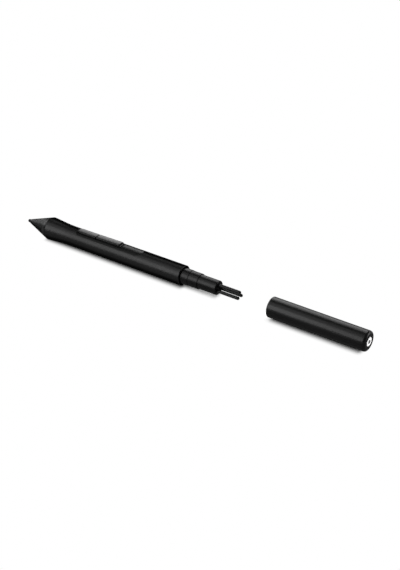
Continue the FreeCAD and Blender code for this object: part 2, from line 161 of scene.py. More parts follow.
# Pieces inside the pen
DAMPER_GAP = 0.05
FERRITE_RADIUS = 2.2
FERRITE_BORE = 1.05
COIL_RADIUS = 2.8
COIL_TURNS = 28
COIL_TURN_STEPS = 6
LEAD_RADIUS = 0.15
LEAD_COIL_OFFSET = 2.385
LEAD_RUN_OFFSET = 3.208
LEAD_BEND_FRONT = 19.4
LEAD_BEND_END = 22.2
LEAD_BEND_STEPS = 12
NIB_SOCKET_RADIUS = 1.9
NIB_SOCKET_BORE = 0.88
NIB_SOCKET_PLAY = 0.03
STEM_RADIUS = 0.8
SPRING_RADIUS = 1.7
SPRING_WIRE = 0.1
SPRING_TURNS = 2.5
SPRING_STEPS = 90
CASE_RADIUS = 3.05
CASE_HOLE = 0.85
CASE_CAVITY = 2.25
CASE_WALL = 0.8
CASE_FLOOR = 0.7
ELEMENT_RADIUS = 2.2
ELEMENT_PLATE = 0.5
ELEMENT_STEP = 0.05
ELEMENT_WAIST = 0.06
PLUNGER_RADIUS = 0.7
SWITCH_HALF_WIDTH = 1.5
SWITCH_LENGTH = 3.4
SWITCH_DROP = 0.12
COVER_DEPTH = 0.16
COVER_INSET = 0.05
COVER_HOLE_GAP = 0.06
BOARD_TOP = 0.6
CHIP_HALF_WIDTH = 1.6
CHIP_LIFT = 0.06
CHIP_LEGS = 8
# One chip leg's shoulder, riser and foot: middle and half width across, and bottom and top over the board
CHIP_LEG = ((1.65, 0.15, 0.25, 0.35), (1.78, 0.05, 0.0, 0.35), (1.88, 0.12, 0.0, 0.08))
CHIP_LEG_HALF_WIDTH = 0.1
CAPACITOR_LENGTH = 1.6
CAPACITOR_HALF_WIDTH = 0.4
CAPACITOR_PITCH = 2.6
CAPACITOR_SIDE = 1.6
CAPACITOR_PLATING = 0.35
CAPACITOR_RECESS = 0.1
CAPACITOR_EDGE = 0.06
PLATING_THICKNESS = 0.03
TRIMMER_RADIUS = 1.5
TRIMMER_SCREW_RADIUS = 1.2
TRIMMER_SCREW_HEIGHT = 0.5
TRIMMER_SLOT = 0.4

# The places of the pieces' ends
NIB_LENGTH = span_of("nib")[1]
CONE_FRONT = span_of("nose_cone")[0]
BARREL_END = span_of("barrel")[1]
WINDOW_END = span_of("switch_bezel")[1] - BEZEL_TAIL
HOLDER_END = span_of("nib_holder")[1]
CAP_MOUTH, CAP_END = span_of("cap_tube")
DISC_BACK = CAP_END - DISC_THICKNESS
CAP_LIP_FRONT = CAP_END - CAP_LIP
NOSE_CAVITY_FRONT = SEAM - NOSE_CAVITY_LENGTH
KEYS_FRONT = WINDOW_FRONT + KEYS_INSET

CONE_SLOPE = (RIDGE_RADIUS - CONE_FRONT_RADIUS) / (RIDGE - CONE_FRONT)
SEAM_RADIUS = CONE_FRONT_RADIUS + CONE_SLOPE * (SEAM - CONE_FRONT)

# Roundings of small edges, from a barely broken one to a plainly moulded one, and of the larger ones
BROKEN = 0.05
SEAM_ROUND = 0.06
FINE = 0.08
SMALL = 0.1
SOFT = 0.12
EASY = 0.15
MOULDED = 0.2
FERRITE_ROUND = 0.25
BARREL_END_ROUND = 0.35
HOLDER_END_ROUND = 0.4
PLUG_ROUND = 0.4
CAP_MOUTH_ROUND = 0.45
RIDGE_ROUND = 0.9
CUT_EDGE = 0.04
# How far a cut goes past the surface that it opens
CUT_OVERRUN = 0.1
# A nib's tip: places behind it, with their radii and roundings, and the chamfer of its tail
NIB_TIP = ((0.0, 0.3, 0.2), (0.16, 0.58, 0.4), (0.6, NIB_RADIUS, 0.5))
NIB_CHAMFER = 0.15

# How far the shadow on the floor reaches beside the pen and past its ends, in millimetres
NOSE_SHADOW_FRONT = 13.5
SHADOW_CORE = 0.4
SHADOW_REACH = 5.4
SHADOW_FADE = 1.5
HOLDER_SHADOW_FRONT = 2.8
HOLDER_SHADOW_BACK = 1.6
HOLDER_SHADOW_SHORT = 1.5
CAP_SHADOW_SHORT = 3.0
GAP_SHADOW_START = 9.0
# The painted shadow on the paper beside what touches it: its reach in millimetres, its power, tone and
# samples
PAINTED_SHADOW_REACH = 5.0
PAINTED_SHADOW_POWER = 1.3
PAINTED_SHADOW_TONE = 0.01
PAINTED_SHADOW_SAMPLES = 8
# The paper's faint clouds: their size in millimetres and their tone
PAPER_CLOUDS = 2.0
PAPER_TONE = 0.985

# The floor's half width in metres, and its faces along a side
FLOOR_REACH = 6.0
FLOOR_STEPS = 24
# Angles at which the two front strips start, meet and end, seen along the pen
FRONT_STRIP_ANGLES = (9, 52, 86)
# Rear strips: lean along the pen, width in metres, and the angles at which they start and end
CAP_STRIP = (0.37, 0.8, 118, 162)
KEY_STRIP = (0.56, 0.5, 127, 166)
KEY_STRIP_SHARE = 0.85
# Panels: direction from the pen, and width and height in metres
END_PANEL = ((0.25, 0.9, 0.33), 1.0, 0.8)
FILL_PANEL = ((0.76, 0.6, 0.22), 1.3, 1.3)
NOSE_PANEL = ((-0.94, 0.15, 0.27), 2.3, 0.8)
# The width of the camera's frame in millimetres, and the nearest distance that it sees in metres
SENSOR_WIDTH = 36.0
CLIP_START = 0.01

# Where the gloss of a finish dies away at a slant: from this slant, to this one, and how much of it
SATIN_FADES = ((0.25, 0.45, 0.12), (0.68, 0.88, 0.6))
HOLDER_FADES = ((0.25, 0.45, 0.12), (0.75, 0.95, 0.3))
NOSE_FADES = ((0.25, 0.55, 0.5), (0.6, 0.8, 0.2))
KEY_FADES = ((0.7, 0.9, 0.3),)
# The same for a surface that faces down, from how much it faces up: painted shade on undersides
UNDERSIDE = (0.12, 0.35, 0.65)
# Where the coat's front cone passes into the grip, before and behind the ridge
CONE_FADE = (1.5, 0.5)
# The part of a cloudy field's range that shows
CLOUD_EDGES = (0.3, 0.7)
# How fine the board's weave is
WEAVE_SCALE = 900.0

# How finely round forms are divided
TURN_STEPS = 96
CORNER_STEPS = 5
EDGE_STEPS = 3
KEY_EDGE_STEPS = 5
GRIP_STEPS = 24
# The first steps of the grip's curve give way to the ridge's rounding
RIDGE_STEPS = 3
WINDOW_TURN = 30
WINDOW_RUN = 32
# The patch of the barrel that holds the window reaches past it by this much, and its rows share out the rest
WINDOW_MARGIN = 1.2
WINDOW_ROWS = (0.3, 0.6, 0.85, 1.0)
BEZEL_ROWS = 6
KEY_TOP_INSETS = (0.6, 0.9, 1.2, 1.5, 1.8)
BOX_RUN = 4
BOX_TURN = 12
UPRIGHT_STEPS = 32
WIRE_SIDES = 12
# Edges sharper than this stay hard, and large faces pull the normals beside them by this weight
SHARP_ANGLE = math.radians(32)
NORMAL_WEIGHT = 90
# A radius in millimetres and a distance in metres that count as none
ON_AXIS = 1e-6
SAME_SPOT = 1e-7
# The most of a side that a round corner takes, and the least corner of a plan
LONGEST_EASE = 0.49
LEAST_CORNER = 0.02


def along(s):
    """The frame's X of a place along the pen."""
    return TIP + s * MM


def at(s, y, h):
    """The point of the frame at a place along the pen, beside its axis and over it, all in millimetres."""
    return Vector((along(s), y * MM, AXIS + h * MM))


def round_axis(s, r, turn):
    """The point at a radius from the pen's axis, turned from straight above it."""
    return at(s, r * math.sin(turn), r * math.cos(turn))


def part_way(low, high, share):
    """A number between two others."""
    return low + (high - low) * share


def turn_angles(steps):
    """Equal steps of one full turn."""
    return [2 * math.pi * step / steps for step in range(steps)]


# Outlines


def eased_corner(before, corner, after, radius):
    """Points of a round corner between two straight sides, for outlines of (place, radius)."""
    tip = Vector(corner)
    back, ahead = Vector(before) - tip, Vector(after) - tip
    half = back.angle(ahead) / 2
    reach = min(radius / math.tan(half), back.length * LONGEST_EASE, ahead.length * LONGEST_EASE)
    radius = reach * math.tan(half)
    back.normalize()
    ahead.normalize()
    centre = tip + (back + ahead).normalized() * (radius / math.sin(half))
    start = tip + back * reach - centre
    turn = start.angle_signed(tip + ahead * reach - centre)
    spins = [Matrix.Rotation(-turn * step / CORNER_STEPS, 2) for step in range(CORNER_STEPS + 1)]
    return [tuple(centre + spin @ start) for spin in spins]


def outline(corners, closed=True):
    """An outline of (place, radius) points from corners with an optional rounding as the third number."""
    points = []
    for index, corner in enumerate(corners):
        inside = closed or 0 < index < len(corners) - 1
        if len(corner) == 3 and inside:
            before = corners[index - 1][:2]
            after = corners[(index + 1) % len(corners)][:2]
            points += eased_corner(before, corner[:2], after, corner[2])
        else:
            points.append(corner[:2])
    return points


def curve_points(poles, steps):
    """Points on a cubic curve through four poles, without its first one."""
    points = []
    for step in range(1, steps + 1):
        share = step / steps
        rest = 1 - share
        weights = (rest ** 3, 3 * share * rest ** 2, 3 * share * share * rest, share ** 3)
        pairs = list(zip(weights, poles))
        points.append(tuple(sum(weight * pole[axis] for weight, pole in pairs) for axis in (0, 1)))
    return points


def round_edge(size, steps=EDGE_STEPS):
    """A rounded edge as (inset, drop) steps, from its upright side to its top."""
    turns = [math.pi / 2 * step / steps for step in range(steps + 1)]
    return [(size * (1 - math.cos(turn)), size * (1 - math.sin(turn))) for turn in turns]


def plan_loop(front, end, half_width, near, far, inset=0.0, runs=WINDOW_RUN, turns=WINDOW_TURN):
    """Points of a rectangle's outline with round corners, seen from above, moved inwards by an inset."""
    front, end, half_width = front + inset, end - inset, half_width - inset
    near, far = max(near - inset, LEAST_CORNER), max(far - inset, LEAST_CORNER)

    def across(place, radius, sign):
        """One end, from the near side to the far side, as (place, y) points at equal steps."""
        flat = 2 * max(half_width - radius, 0.0)
        arc = math.pi / 2 * radius
        points = []
        for step in range(turns):
            way = (2 * arc + flat) * step / turns
            if way < arc:
                angle = way / radius
                spot = (-radius * (1 - math.sin(angle)), -half_width + radius * (1 - math.cos(angle)))
            elif way < arc + flat:
                spot = (0.0, -half_width + radius + way - arc)
            else:
                angle = (way - arc - flat) / radius
                spot = (-radius * (1 - math.cos(angle)), half_width - radius + radius * math.sin(angle))
            points.append((place + sign * spot[0], sign * spot[1]))
        return points

    span = end - far - front - near
    near_side = [(front + near + span * step / runs, -half_width) for step in range(runs)]
    far_side = [(end - far - span * step / runs, half_width) for step in range(runs)]
    return near_side + across(end, far, 1) + far_side + across(front, near, -1)


def between_loops(first, second, share):
    """A loop part of the way from one to another."""
    return [tuple(part_way(*pair, share) for pair in zip(*spots)) for spots in zip(first, second)]


def window(inset):
    """The switch window's outline, moved inwards by an inset."""
    half_width = WINDOW_HALF_WIDTH
    return plan_loop(WINDOW_FRONT, WINDOW_END, half_width, WINDOW_FRONT_ROUND, half_width, inset)


# Meshes


def row_of(mesh, spots):
    """New vertices at points of the frame."""
    return [mesh.verts.new(spot) for spot in spots]


def ring(mesh, s, r):
    """The vertices of one turn about the pen's axis, or the single one of a point on it."""
    turns = turn_angles(1 if r < ON_AXIS else TURN_STEPS)
    return row_of(mesh, [round_axis(s, r, turn) for turn in turns])


def bridge(mesh, first, second, skip=()):
    """Faces between two closed rows of vertices, either of which may be a single point."""
    count = max(len(first), len(second))
    if count == 1:
        return
    for index in range(count):
        if index in skip:
            continue
        pair = [index, (index + 1) % count]
        here, there = ([row[n] for n in pair] if len(row) > 1 else row for row in (first, second))
        mesh.faces.new(here + there[::-1])


def join(mesh, rows):
    """Faces from each row of vertices to the next."""
    for here, there in zip(rows, rows[1:]):
        bridge(mesh, here, there)


def lathe(mesh, points, closed=True):
    """A turned form from its outline. A closed one is a thick shell, an open one ends on the axis."""
    rows = [ring(mesh, s, r) for s, r in points]
    join(mesh, rows + rows[:1] if closed else rows)


def turned_aside(mesh, points, y, height):
    """A turned form that ends on its own axis, which lies beside the pen's."""
    before = set(mesh.verts)
    lathe(mesh, points, False)
    added = [vertex for vertex in mesh.verts if vertex not in before]
    bmesh.ops.translate(mesh, verts=added, vec=Vector((0, y * MM, height * MM)))


def close_loop(mesh, row, runs=WINDOW_RUN, turns=WINDOW_TURN):
    """Fills a plan loop's row of vertices with faces that run straight across it."""
    half = turns // 2
    near = row[-half:] + row[: runs + half + 1]
    far = row[runs + half : 2 * runs + turns + half + 1][::-1]
    for square in zip(near, near[1:], far[1:], far):
        corners = list(dict.fromkeys(square))
        if len(corners) > 2:
            mesh.faces.new(corners)


def stack(mesh, layers):
    """Joined rows of vertices. A layer is a plan loop and a height, which may change over it."""
    rows = []
    for loop, height in layers:
        rise = height if callable(height) else lambda s, y, level=height: level
        rows.append(row_of(mesh, [at(s, y, rise(s, y)) for s, y in loop]))
    join(mesh, rows)
    return rows


def rounded_box(mesh, front, end, half_width, bottom, top, edge, side=0.0):
    """A box with rounded edges, centred at y = side."""

    def plan(inset):
        loop = plan_loop(front, end, half_width, edge, edge, inset, BOX_RUN, BOX_TURN)
        return [(s, y + side) for s, y in loop]

    ease = edge / 2
    layers = [(ease, bottom), (0, bottom + ease), (0, top - ease), (ease, top)]
    rows = stack(mesh, [(plan(inset), height) for inset, height in layers])
    for row in (rows[0], rows[-1]):
        close_loop(mesh, row, BOX_RUN, BOX_TURN)


def upright(mesh, place, points):
    """A form turned about an upright line over a place, from (height, radius) points."""
    rows = []
    for height, r in points:
        turns = turn_angles(1 if r < ON_AXIS else UPRIGHT_STEPS)
        spots = [at(place + r * math.cos(turn), r * math.sin(turn), height) for turn in turns]
        rows.append(row_of(mesh, spots))
    join(mesh, rows)


def wire(mesh, path, radius):
    """A round wire with closed ends along a path of points of the frame."""
    rows = []
    side = (path[1] - path[0]).orthogonal().normalized()
    for index, spot in enumerate(path):
        ahead = (path[min(index + 1, len(path) - 1)] - path[max(index - 1, 0)]).normalized()
        side = (side - ahead * side.dot(ahead)).normalized()
        other = ahead.cross(side)
        ways = [side * math.cos(turn) + other * math.sin(turn) for turn in turn_angles(WIRE_SIDES)]
        rows.append(row_of(mesh, [spot + way * radius * MM for way in ways]))
    join(mesh, rows)
    mesh.faces.new(rows[0])
    mesh.faces.new(rows[-1])


def on_cylinder(radius, drop=0.0):
    """The height of a round skin at a distance y from its middle line."""
    return lambda s, y: math.sqrt(max(radius * radius - y * y, 0.0)) - drop


def placed(name, data):
    """A new object of the scene with this data."""
    thing = bpy.data.objects.new(name, data)
    bpy.context.scene.collection.objects.link(thing)
    return thing


def as_object(name, mesh):
    """A new object of the scene with this mesh, which is used up."""
    data = bpy.data.meshes.new(name)
    mesh.to_mesh(data)
    mesh.free()
    return placed(name, data)


def finished(name, mesh, node=None, finish=None, rides=True):
    """Turns a mesh into a piece of the pen that stands for a CAD node, with the node's body and finish.

    A piece without a node is bright trim on the pen's body.
    """
    slot, body = (SLOTS[node], BODIES[node]) if node else (TRIM_SLOT, TRIM_BODY)
    loose = [vertex for vertex in mesh.verts if not vertex.link_faces]
    bmesh.ops.delete(mesh, geom=loose, context="VERTS")
    bmesh.ops.recalc_face_normals(mesh, faces=mesh.faces)
    piece = as_object(name, mesh)
    piece.data.shade_smooth()
    piece.data.set_sharp_from_angle(angle=SHARP_ANGLE)
    normals = piece.modifiers.new("even_normals", "WEIGHTED_NORMAL")
    normals.keep_sharp = True
    normals.weight = NORMAL_WEIGHT
    piece.data.materials.append(material_of(finish or slot))
    if rides:
        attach(piece, body)
    if node:
        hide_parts(node)
    return piece


def turned(name, node, corners, closed=True, finish=None):
    """A piece that is turned about the pen's axis from its corners."""
    mesh = bmesh.new()
    lathe(mesh, outline(corners, closed), closed)
    return finished(name, mesh, node, finish)


def drill_holes(piece, cutters):
    """Cuts the cutters' volume out of a piece's mesh."""
    bmesh.ops.recalc_face_normals(cutters, faces=cutters.faces)
    cutter = as_object("hole_cutters", cutters)
    cut = piece.modifiers.new("holes", "BOOLEAN")
    cut.operation = "DIFFERENCE"
    cut.solver = "EXACT"
    cut.object = cutter
    piece.modifiers.move(len(piece.modifiers) - 1, 0)
    depsgraph = bpy.context.evaluated_depsgraph_get()
    for modifier in piece.modifiers:
        modifier.show_viewport = modifier == cut
    depsgraph.update()
    result = bpy.data.meshes.new_from_object(piece.evaluated_get(depsgraph))
    piece.modifiers.remove(cut)
    for modifier in piece.modifiers:
        modifier.show_viewport = True
    piece.data = result
    result.set_sharp_from_angle(angle=SHARP_ANGLE)
    bpy.data.objects.remove(cutter)


# Materials


class Field:
    """A socket of a material's nodes, on which sums, products and powers add Math nodes."""

    def __init__(self, finish, socket):
        self.finish = finish
        self.socket = socket

    def maths(self, operation, *values):
        return self.finish.add("ShaderNodeMath", {"operation": operation}, dict(enumerate(values)))

    def __add__(self, other):
        return self.maths("ADD", self, other)

    __radd__ = __add__

    def __sub__(self, other):
        return self.maths("SUBTRACT", self, other)

    def __rsub__(self, other):
        return self.maths("SUBTRACT", other, self)

    def __mul__(self, other):
        return self.maths("MULTIPLY", self, other)

    __rmul__ = __mul__

    def __pow__(self, other):
        return self.maths("POWER", self, other)

    def __rpow__(self, other):
        return self.maths("POWER", other, self)

    def __abs__(self):
        return self.maths("ABSOLUTE", self)


class Finish:
    """The procedural nodes of a material or of the room, which are all added by a single method."""

    def __init__(self, owner):
        owner.use_nodes = True
        self.owner = owner
        self.tree = owner.node_tree
        self.tree.nodes.clear()

    @functools.cached_property
    def place(self):
        """Where a point of the piece is, in metres."""
        return self.add("ShaderNodeTexCoord", output="Object")

    def add(self, kind, settings=None, sockets=None, output=0):
        """Adds a node. Its settings come first, then the values or links of its sockets."""
        node = self.tree.nodes.new(kind)
        for key, value in (settings or {}).items():
            setattr(node, key, value)
        for key, value in (sockets or {}).items():
            if isinstance(value, Field):
                self.tree.links.new(value.socket, node.inputs[key])
            else:
                node.inputs[key].default_value = value
        return Field(self, node.outputs[output]) if node.outputs else node

    def noise(self, size, detail=3.0, roughness=0.5, stretch=None):
        """A cloudy field whose features have about this size in millimetres."""
        where = self.place
        if stretch:
            where = self.add("ShaderNodeVectorMath", {"operation": "MULTIPLY"}, {0: where, 1: stretch})
        sockets = {"Vector": where, "Scale": 1 / (size * MM), "Detail": detail, "Roughness": roughness}
        return self.add("ShaderNodeTexNoise", {"noise_dimensions": "3D"}, sockets, "Fac")

    def between(self, value, low, high, to_low=0.0, to_high=1.0):
        """A smooth step of a value from one range to another."""
        sockets = {"Value": value, "From Min": low, "From Max": high, "To Min": to_low, "To Max": to_high}
        return self.add("ShaderNodeMapRange", {"interpolation_type": "SMOOTHSTEP"}, sockets, "Result")

    def part(self, vector, letter):
        """One of a vector's three numbers."""
        return self.add("ShaderNodeSeparateXYZ", None, {0: vector}, letter)

    def mix(self, factor, first, second):
        """A colour between two others."""
        return self.add("ShaderNodeMix", {"data_type": "RGBA"}, {0: factor, 6: first, 7: second}, 2)

    def clouded(self, cloud, first, second):
        """Two colours that a cloudy field passes between."""
        return self.mix(self.between(cloud, *CLOUD_EDGES), first, second)

    def bump(self, height, depth, strength):
        """A relief of this depth in millimetres."""
        sockets = {"Strength": strength, "Distance": depth * MM, "Height": height}
        return self.add("ShaderNodeBump", None, sockets, "Normal")

    def dulled(self, fades, underside):
        """How much of the gloss is gone where the surface is seen at a slant, and the painted shade where it
        faces down.
        """
        shares = []
        if fades:
            slant = self.add("ShaderNodeLayerWeight", None, {"Blend": 0.5}, "Facing")
            shares = [share * self.between(slant, low, high) for low, high, share in fades]
        # Painted shade: a surface that faces down loses its gloss and shows darker
        if underside:
            upward = self.part(self.add("ShaderNodeTexCoord", output="Normal"), "Z")
            low, high, share = UNDERSIDE
            shares.append(self.between(upward, low, high, share, 0.0))
        return sum(shares)

    def surface(self, fades=(), underside=False, **sockets):
        """The main shader, whose sockets are named with underscores, and where it loses its gloss."""
        named = {key.replace("_", " "): value for key, value in sockets.items()}
        shader = self.add("ShaderNodeBsdfPrincipled", None, named, "BSDF")
        if fades or underside:
            matt = self.add("ShaderNodeBsdfDiffuse", None, {"Color": named["Base Color"]}, "BSDF")
            dulled = self.dulled(fades, underside)
            shader = self.add("ShaderNodeMixShader", None, {0: dulled, 1: shader, 2: matt})
        self.add("ShaderNodeOutputMaterial", None, {"Surface": shader})
        return self.owner


def new_finish(name):
    """The nodes of a new material."""
    return Finish(bpy.data.materials.new(name))


def grey(value, warmth=0.0):
    """A neutral colour, or a slightly warm one."""
    return (value * (1 + warmth), value, value * (1 - warmth), 1.0)


def soft_touch():
    """The velvety coat of the grip and barrel, with a fine grain and faint handling marks."""
    tone = bpy.context.scene.pen_finishes
    finish = new_finish("soft_touch_coat")
    cloud = finish.noise(9.0, 4.0, 0.6)
    handled = finish.between(finish.noise(2.4, 5.0, 0.7, (0.35, 1.0, 1.0)), 0.5, 0.75)
    colour = finish.clouded(cloud, grey(tone.coat_tone * 0.86), grey(tone.coat_tone * 1.16))
    before, behind = CONE_FADE
    length = finish.part(finish.place, "X")
    cone = finish.between(length, along(RIDGE - before), along(RIDGE + behind), 1.0, 0.0)
    return finish.surface(
        ((0.18, 0.5, 1 - 0.85 * cone), (0.4, 0.65, 0.65 * cone)),
        Base_Color=finish.mix(handled * 0.35, colour, grey(tone.coat_tone * 1.5)),
        Roughness=tone.coat_roughness - 0.05 * handled + 0.04 * (cloud - 0.5),
        Specular_IOR_Level=tone.coat_gloss,
        Normal=finish.bump(finish.noise(0.16, 2.0), 0.012, 0.5),
    )


def satin(name, tone, roughness, gloss, fades=()):
    """Satin moulded plastic with a fine spark-eroded grain and faint flow marks."""
    finish = new_finish(name)
    flow = finish.noise(3.5, 4.0, 0.6, (0.2, 1.0, 1.0))
    scuff = finish.between(finish.noise(0.9, 6.0, 0.75, (0.5, 1.0, 1.0)), 0.56, 0.78)
    colour = finish.clouded(flow, grey(tone * 0.88), grey(tone * 1.12))
    return finish.surface(
        fades,
        # Painted shade on the underside, where the gloss is taken off
        underside=True,
        Base_Color=finish.mix(scuff * 0.3, colour, grey(tone * 1.7)),
        Roughness=roughness + 0.05 * (flow - 0.5) + 0.06 * scuff,
        Specular_IOR_Level=gloss,
        Normal=finish.bump(finish.noise(0.11, 2.0), 0.006, 0.4),
    )


def outer_satin(name, tone_share, roughness_share, gloss_share, fades):
    """Satin plastic of the pen's outside, from the shares of the satin settings that it takes."""
    tone = bpy.context.scene.pen_finishes
    gloss = tone.satin_gloss * gloss_share
    return satin(name, tone.satin_tone * tone_share, tone.satin_roughness * roughness_share, gloss, fades)


def nib_black():
    """Smooth acetal with fine lengthways drawing marks."""
    finish = new_finish("nib_acetal")
    drawn = finish.noise(0.12, 3.0, 0.6, (0.08, 1.0, 1.0))
    worn = finish.between(finish.noise(0.5, 4.0), 0.45, 0.7)
    return finish.surface(
        Base_Color=finish.mix(worn, grey(0.003), grey(0.006)),
        Roughness=0.28 + 0.12 * drawn,
        Specular_IOR_Level=0.06,
        Normal=finish.bump(drawn, 0.004, 0.5),
    )


def disc_pale():
    """The pale end disc, with a fine grain."""
    pale = bpy.context.scene.pen_finishes.disc_tone
    finish = new_finish("pale_disc")
    grain = finish.noise(0.14, 3.0)
    return finish.surface(
        Base_Color=finish.clouded(finish.noise(1.6, 4.0, 0.6), grey(pale * 0.96), grey(pale)),
        Roughness=0.38 + 0.1 * grain,
        Specular_IOR_Level=0.4,
        Normal=finish.bump(grain, 0.006, 0.4),
    )


def ferrite():
    """Fired ferrite, dark with a grey crystalline grain."""
    finish = new_finish("fired_ferrite")
    grain = finish.noise(0.08, 4.0, 0.7)
    colours = ((0.035, 0.033, 0.032, 1.0), (0.11, 0.105, 0.1, 1.0))
    return finish.surface(
        Base_Color=finish.mix(finish.between(grain, 0.4, 0.65), *colours),
        Roughness=0.5 + 0.2 * grain,
        Normal=finish.bump(grain, 0.01, 0.6),
    )


def board():
    """Glass-fibre board with its weave under a green mask."""
    finish = new_finish("board_mask")
    threads = {"Vector": finish.place, "Scale": WEAVE_SCALE}
    ways = [{"wave_type": "BANDS", "bands_direction": way} for way in "XY"]
    weave, cross = (finish.add("ShaderNodeTexWave", way, threads, "Fac") for way in ways)
    cloth = weave * cross
    return finish.surface(
        Base_Color=finish.mix(cloth, (0.012, 0.09, 0.045, 1.0), (0.03, 0.17, 0.08, 1.0)),
        Roughness=0.35 + 0.1 * cloth,
        Normal=finish.bump(cloth, 0.006, 0.5),
    )


def mottled(name, noise, colours, roughness, relief, **sockets):
    """A finish whose colour, roughness (its least and its rise) and relief all follow one cloudy field."""
    finish = new_finish(name)
    cloud = finish.noise(*noise)
    least, rise = roughness
    colour, normal = finish.mix(cloud, *colours), finish.bump(cloud, *relief)
    return finish.surface(Base_Color=colour, Roughness=least + rise * cloud, Normal=normal, **sockets)


def switch_plunger():
    """A small ivory actuator."""
    colours = ((0.46, 0.43, 0.36, 1.0), (0.56, 0.53, 0.46, 1.0))
    return mottled("actuator_moulding", (0.5, 4.0), colours, (0.4, 0.1), (0.004, 0.4))


def copper():
    """Enamelled copper wire."""
    colours = ((0.56, 0.21, 0.08, 1.0), (0.78, 0.36, 0.15, 1.0))
    enamel = {"Metallic": 1.0, "Coat_Weight": 0.4}
    return mottled("enamelled_wire", (0.4, 4.0), colours, (0.26, 0.14), (0.004, 0.3), **enamel)


def steel(name, colours, roughness):
    """Drawn steel with fine lengthways marks."""
    return mottled(name, (0.1, 4.0, 0.6, (0.2, 1.0, 1.0)), colours, roughness, (0.004, 0.4), Metallic=1.0)


def spring_steel():
    """Bright steel of springs, switch covers, chip legs and plated ends."""
    return steel("drawn_steel", (grey(0.46, 0.01), grey(0.66, 0.02)), (0.24, 0.18))


def blued_steel():
    """The puller ring's dark, heat-blued steel."""
    return steel("blued_steel", ((0.02, 0.022, 0.03, 1.0), (0.045, 0.048, 0.06, 1.0)), (0.3, 0.2))


def ceramic(name, *colours):
    """A fired ceramic between two colours."""
    return mottled(name, (0.3, 4.0, 0.6), colours, (0.4, 0.2), (0.005, 0.5))


def element():
    """The sensor's pale stack."""
    return ceramic("sensor_ceramic", (0.44, 0.4, 0.33, 1.0), (0.6, 0.55, 0.46, 1.0))


def capacitor():
    """The tan bodies of the capacitors and the trimmer."""
    return ceramic("capacitor_ceramic", (0.3, 0.21, 0.13, 1.0), (0.46, 0.35, 0.24, 1.0))


# Satin mouldings of the outside, with their shares of the satin tone, roughness and gloss, and their fades
OUTER_MOULDINGS = {
    "satin_black": ("satin_moulding", 1.0, 1.0, 1.0, SATIN_FADES),
    "holder_black": ("holder_moulding", 1.0, 1.0, 0.75, HOLDER_FADES),
    "nose_black": ("nose_moulding", 1.0, 1.2, 0.9, NOSE_FADES),
    "insert_black": ("insert_moulding", 0.8, 1.2, 0.5, KEY_FADES),
    "key_black": ("key_moulding", 1.0, 0.75, 1.0, KEY_FADES),
}
# Mouldings inside the pen, with their tone, roughness and gloss
INNER_MOULDINGS = {
    "frame_plastic": ("inner_moulding", 0.05, 0.45, 0.3),
    "switch_body": ("switch_moulding", 0.03, 0.4, 0.4),
    "chip": ("chip_moulding", 0.02, 0.5, 0.3),
    "damper_rubber": ("damper_rubber", 0.03, 0.8, 0.2),
}
OTHER_FINISHES = (
    soft_touch, nib_black, disc_pale, switch_plunger, ferrite, copper,
    spring_steel, blued_steel, element, board, capacitor,
)
FINISHES = {maker.__name__: maker for maker in OTHER_FINISHES}


@functools.cache
def material_of(finish):
    """The material of a finish, which is made when it is first asked for."""
    if finish in OUTER_MOULDINGS:
        return outer_satin(*OUTER_MOULDINGS[finish])
    if finish in INNER_MOULDINGS:
        return satin(*INNER_MOULDINGS[finish])
    return FINISHES[finish]()


def dress_nodes():
    """Gives every CAD node its slot's finish, which shows on those that no piece stands for."""
    for name, node in frame["nodes"].items():
        node.data.materials.clear()
        node.data.materials.append(material_of(SLOTS[name]))


# Settings


def setting(name, description, default, **kind):
    """A number that the panel shows."""
    return FloatProperty(name=name, description=description, default=default, **kind)


SHARE = {"min": 0.0, "max": 1.0, "subtype": "FACTOR"}
LENGTH = {"unit": "LENGTH"}
ANGLE = {"subtype": "ANGLE"}


class PenShape(bpy.types.PropertyGroup):
    """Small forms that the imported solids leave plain, in millimetres."""

    edge_round: setting(
        "Edge rounding", "Rounding of moulded edges, in millimetres", 0.08, min=0.02, max=0.4
    )
    key_edge_round: setting(
        "Key edge rounding", "Rounding of the keys' top edges, in millimetres", 0.16, max=0.8
    )


class PenFinishes(bpy.types.PropertyGroup):
    """Tones of the visible finishes."""

    coat_tone: setting("Coat tone", "Lightness of the soft-touch coat", 0.002, **SHARE)
    coat_roughness: setting("Coat roughness", "How matt the soft-touch coat is", 0.37, **SHARE)
    coat_gloss: setting("Coat gloss", "Strength of the coat's reflection", 0.105, **SHARE)
    satin_tone: setting("Satin tone", "Lightness of the satin mouldings", 0.004, **SHARE)
    satin_roughness: setting("Satin roughness", "How matt the satin mouldings are", 0.3, **SHARE)
    satin_gloss: setting("Satin gloss", "Strength of the satin reflection", 0.09, **SHARE)
    disc_tone: setting("Disc tone", "Lightness of the cap's end disc", 0.8, **SHARE)


class PenStudio(bpy.types.PropertyGroup):
    """The camera's view and the studio's light."""

    turn: setting("Camera turn", "Turn of the camera about the pen", math.radians(34.43), **ANGLE)
    rise: setting("Camera rise", "Height angle of the camera", math.radians(31.575), **ANGLE)
    distance: setting("Camera distance", "From the camera to its target", 0.6, **LENGTH)
    target_place: setting("Target place", "Place along the pen that the camera looks at", 0.110516, **LENGTH)
    target_drop: setting("Target drop", "How far the target lies under the pen's axis", 0.0021, **LENGTH)
    lens: setting("Lens", "Focal length in millimetres on a 36 mm wide frame", 77.375)
    lamp_distance: setting("Lamp distance", "From the pen to each lamp", 3.0, **LENGTH)
    lamp_width: setting("Lamp width", "Width of the two front strip lamps", 1.2, **LENGTH)
    low_level: setting("Low strip", "Brightness of the strip low in front", 12.5)
    high_level: setting("High strip", "Brightness of the strip above it", 4.0)
    rear_level: setting("Rear lamps", "Brightness of the rear strips and of the end panel", 7.2)
    fill_level: setting("Fill", "Brightness of the panel beyond the cap's end", 15.0)
    nose_level: setting("Nose light", "Brightness of the panel ahead", 9.0)
    ambient: setting("Ambient", "Brightness of the room", 0.1)


# Pieces


